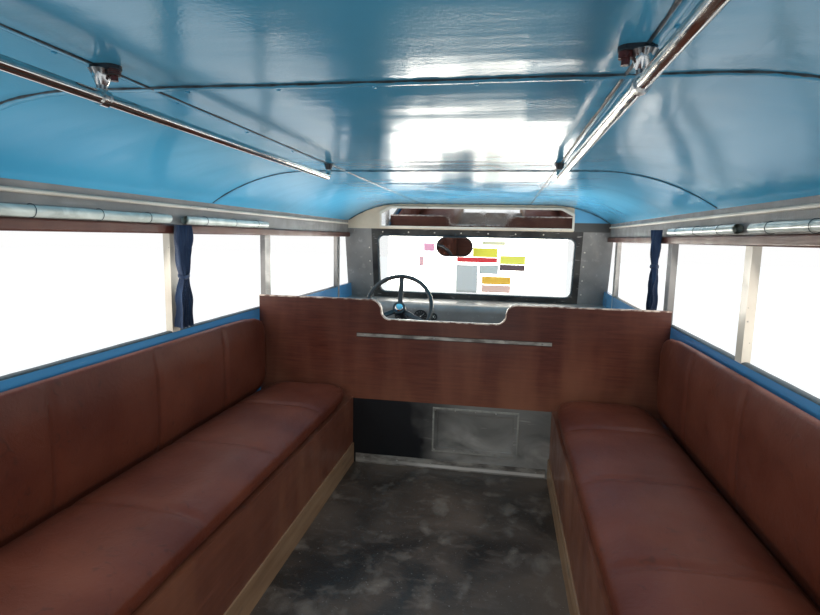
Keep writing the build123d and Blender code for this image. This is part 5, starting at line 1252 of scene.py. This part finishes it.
def roof_laps():
    """Laps across the roof over the lining's seams and the cab, each with a line of sealant at its front edge.

    The roof outside is an arc round the crown's own middle, a roof's depth further out.
    """
    x = np.linspace(-0.966, 0.966, 160)
    beyond = np.sign(x) * np.maximum(np.abs(x) - FLAT_HALF, 0.0)
    radius = CROWN_RADIUS + ROOF_DEPTH
    rise = np.sqrt(radius**2 - beyond**2)
    outward = np.stack([beyond, 0 * x, rise], axis=-1) / radius
    laps, lines = [], []
    for y in (*CROSS_SEAM_Y, 1.400):
        path = np.stack([x, np.full(160, y), CROWN_Z + rise - 0.0003], axis=-1)
        laps.append(bead(path, (0, -1, 0), outward, 0.046, 0.0026, 9))
        front = path + np.array([0.0, 0.0245, 0.0])
        lines.append(bead(front, (0, -1, 0), outward, uneven(front, 0.0085, 0.4), uneven(front, 0.0024)))
    piece("roof_laps", joined(laps), FINISHES["body_paint"])
    piece("roof_sealant", joined(lines), SEALANT)


def roof_rivets():
    """Rivets along both edges of the roof's flat middle and along the cant rails."""
    y = np.arange(-2.24, 2.20, 0.12)
    edge = [(side * 0.495, a, 1.4497) for side in (-1, 1) for a in y]
    wall = [(side * (HALF_OUT - 0.0002), a, 1.2480) for side in (-1, 1) for a in np.arange(-2.22, 2.10, 0.16)]
    top = copies(dome(0.0055, 0.0026), edge)
    right = copies(aimed(dome(0.0050, 0.0024), (1, 0, 0)), [p for p in wall if p[0] > 0])
    left = copies(aimed(dome(0.0050, 0.0024), (-1, 0, 0)), [p for p in wall if p[0] < 0])
    piece("roof_rivets", joined([top, right, left]), FINISHES["body_paint"])


def side_rivets():
    """Rivets along the joints of the side panels."""
    rows = []
    for y in (-1.632, -1.608, -0.692, -0.668, 0.755):
        rows += [(HALF_OUT - 0.0002, y, z) for z in np.arange(0.06, 0.82, 0.075) if abs(z - 0.33) > 0.01 and abs(z - 0.62) > 0.01]
    right = copies(aimed(dome(0.0042, 0.0022), (1, 0, 0)), rows)
    piece("side_rivets", both_sides(right), FINISHES["body_paint"])


def rear_rivets():
    """Rivets round the edges of both rear panels."""
    spots = [(x, z) for x in (0.445, 0.905) for z in np.arange(0.06, 0.80, 0.105)]
    spots += [(x, z) for x in np.arange(0.515, 0.88, 0.0975) for z in (0.06, 0.795)]
    behind = [(side * x, REAR_OUT + 0.0002, z) for side in (-1, 1) for x, z in spots]
    piece("rear_rivets", copies(aimed(dome(0.0042, 0.0022), (0, -1, 0)), behind), FINISHES["body_paint"])


def sill_caps():
    """Rubber-covered caps along the window sills, between the pillars."""
    caps = []
    for bay in range(4):
        middle = FIRST_BAY_Y - bay * WINDOW_PITCH
        front = middle + WINDOW_PITCH / 2 - 0.024
        rear = middle - WINDOW_PITCH / 2 + 0.024
        if bay == 0:
            front = 0.739 - 0.024 + 0.02
        if bay == 3:
            rear = -2.229
        y = np.linspace(rear, front, 24)
        path = np.stack([np.full(24, 0.9325), y, np.full(24, SILL - 0.0004)], axis=-1)
        caps.append(bead(path, (1, 0, 0), (0, 0, 1), 0.026, uneven(path, 0.0060, 0.1), 9))
    piece("sill_caps", both_sides(joined(caps)), SEALANT)


# Light, floor and camera

def studio():
    """White sky, a pale floor, and soft lamps at the open windows and behind the camera."""
    scene = bpy.context.scene
    world = bpy.data.worlds.new("studio")
    scene.world = world
    world.use_nodes = True
    tree = world.node_tree
    lit = tree.nodes["Background"]
    lit.inputs["Color"].default_value = (0.93, 0.97, 1.0, 1.0)
    lit.inputs["Strength"].default_value = 0.85
    seen = tree.nodes.new("ShaderNodeBackground")
    seen.inputs["Color"].default_value = (1.0, 1.0, 1.0, 1.0)
    seen.inputs["Strength"].default_value = 1.0
    path = tree.nodes.new("ShaderNodeLightPath")
    mix = tree.nodes.new("ShaderNodeMixShader")
    either = tree.nodes.new("ShaderNodeMath")
    either.operation = "MAXIMUM"
    again = tree.nodes.new("ShaderNodeMath")
    again.operation = "MAXIMUM"
    tree.links.new(path.outputs["Is Camera Ray"], either.inputs[0])
    tree.links.new(path.outputs["Is Glossy Ray"], either.inputs[1])
    tree.links.new(either.outputs["Value"], again.inputs[0])
    tree.links.new(path.outputs["Is Transmission Ray"], again.inputs[1])
    tree.links.new(again.outputs["Value"], mix.inputs["Fac"])
    tree.links.new(lit.outputs["Background"], mix.inputs[1])
    tree.links.new(seen.outputs["Background"], mix.inputs[2])
    tree.links.new(mix.outputs["Shader"], tree.nodes["World Output"].inputs["Surface"])
    floor = bpy.data.meshes.new("studio_floor")
    reach = 30.0
    floor.from_pydata([(-reach, -reach, -0.0005), (reach, -reach, -0.0005), (reach, reach, -0.0005), (-reach, reach, -0.0005)],
                      [], [(0, 1, 2, 3)])
    obj = bpy.data.objects.new("studio_floor", floor)
    scene.collection.objects.link(obj)
    pale = Finish("studio_pale", rough=0.9, colour=(0.90, 0.90, 0.89))
    pale.wire((1.0, 1.0, 1.0), pale.shader.inputs["Emission Color"])
    rays = pale.tree.nodes.new("ShaderNodeLightPath")
    direct = pale.maths("MAXIMUM", rays.outputs["Is Camera Ray"], rays.outputs["Is Glossy Ray"])
    direct = pale.maths("MAXIMUM", direct, rays.outputs["Is Transmission Ray"])
    pale.wire(pale.maths("MULTIPLY", direct, 0.30), pale.shader.inputs["Emission Strength"])
    floor.materials.append(pale.material)


def lamp(name, place, aim, width, height, power, tint=(1.0, 1.0, 1.0), gloss=True, fill=True):
    """A soft rectangular lamp at a place, facing a point, seen in gloss, as fill or both."""
    data = bpy.data.lights.new(name, "AREA")
    data.shape = "RECTANGLE"
    data.size = width
    data.size_y = height
    data.energy = power
    data.color = tint
    obj = bpy.data.objects.new(name, data)
    bpy.context.scene.collection.objects.link(obj)
    obj.location = place
    obj.rotation_euler = (Vector(aim) - Vector(place)).to_track_quat("-Z", "Y").to_euler()
    obj.visible_camera = False
    obj.visible_glossy = gloss
    obj.visible_diffuse = fill


def glow(name, place, aim, width, height, radiance, tint):
    """A bright patch that only gloss shows, of a radiance where the white sky is 1."""
    lamp(name, place, aim, width, height, radiance * pi * width * height, tint, fill=False)


def lamps():
    """Daylight at each window bay, from the rear doorway, through the windscreen and off the road."""
    warm = (1.0, 0.965, 0.90)
    cream = (1.0, 0.93, 0.80)
    for bay, left, right in ((0, 1.5, 0.8), (1, 1.1, 0.3), (2, 0.7, 0.1), (3, 0.5, 0.1)):
        y = FIRST_BAY_Y - bay * WINDOW_PITCH
        for side, power in ((-1, left), (1, right)):
            lamp(f"bay_{bay}_{side}", (side * 0.99, y, 1.00), (0.0, y, 0.55), 0.66, 0.32, 2.0, warm, gloss=False)
            lamp(f"road_{bay}_{side}", (side * 0.70, y, 0.94), (side * 0.84, y, 1.42), 0.66, 0.16, power, gloss=False)
    for side, radiance in ((-1, 6.0), (1, 14.0)):
        lamp(f"cab_{side}", (side * 0.99, 1.37, 1.00), (0.0, 1.37, 1.30), 0.95, 0.32, 5.5, warm, gloss=False)
        glow(f"cab_glow_{side}", (side * 0.99, 1.37, 1.00), (0.0, 1.37, 1.30), 0.95, 0.36, radiance, cream)
    lamp("rear", (0.0, -3.60, 1.0), (0.0, 0.0, 0.7), 1.6, 1.2, 16.0, warm, gloss=False)
    lamp("front", (0.0, 2.46, 0.95), (0.0, 0.6, 1.42), 1.3, 0.36, 6.0, warm, gloss=False)
    lamp("aisle", (0.0, -0.95, 1.30), (0.0, -0.85, 0.0), 0.9, 2.3, 6.5, (1.0, 0.91, 0.80), gloss=False)
    glow("front_glow", (0.0, 2.46, 0.98), (0.0, 0.0, 1.10), 1.35, 0.42, 4.0, cream)
    glow("dash_glow", (-0.09, 2.04, 0.86), (-0.05, 0.0, 1.00), 0.80, 0.26, 6.5, cream)
    lamp("road_front", (0.0, 1.40, 0.96), (0.0, 1.35, 1.42), 1.5, 0.8, 10.0, gloss=False)


def camera():
    """The photographer's view."""
    data = bpy.data.cameras.new("camera")
    data.sensor_width = 36.0
    data.lens = LENS
    data.clip_start = 0.02
    data.clip_end = 200.0
    obj = bpy.data.objects.new("camera", data)
    bpy.context.scene.collection.objects.link(obj)
    obj.location = EYE
    turn = Matrix.Rotation(TURN_LEFT, 3, "Z") @ Matrix.Rotation(pi / 2 - LOOK_DOWN, 3, "X") @ Matrix.Rotation(ROLL, 3, "Z")
    obj.rotation_euler = turn.to_euler()
    bpy.context.scene.camera = obj


bpy.context.scene.view_settings.view_transform = "Standard"
dress_frame()
ceiling_seams()
lap_edges()
ceiling_rivets()
post_fixings()
post_sleeves()
screen_rivets()
screen_seal()
screen_cards()
partition_screws()
bench_pads()
cab_seat_pads()
tied_curtains()
rolled_curtains()
gauge_faces()
horn_button()
door_fittings()
roof_laps()
roof_rivets()
side_rivets()
rear_rivets()
sill_caps()
studio()
lamps()
camera()
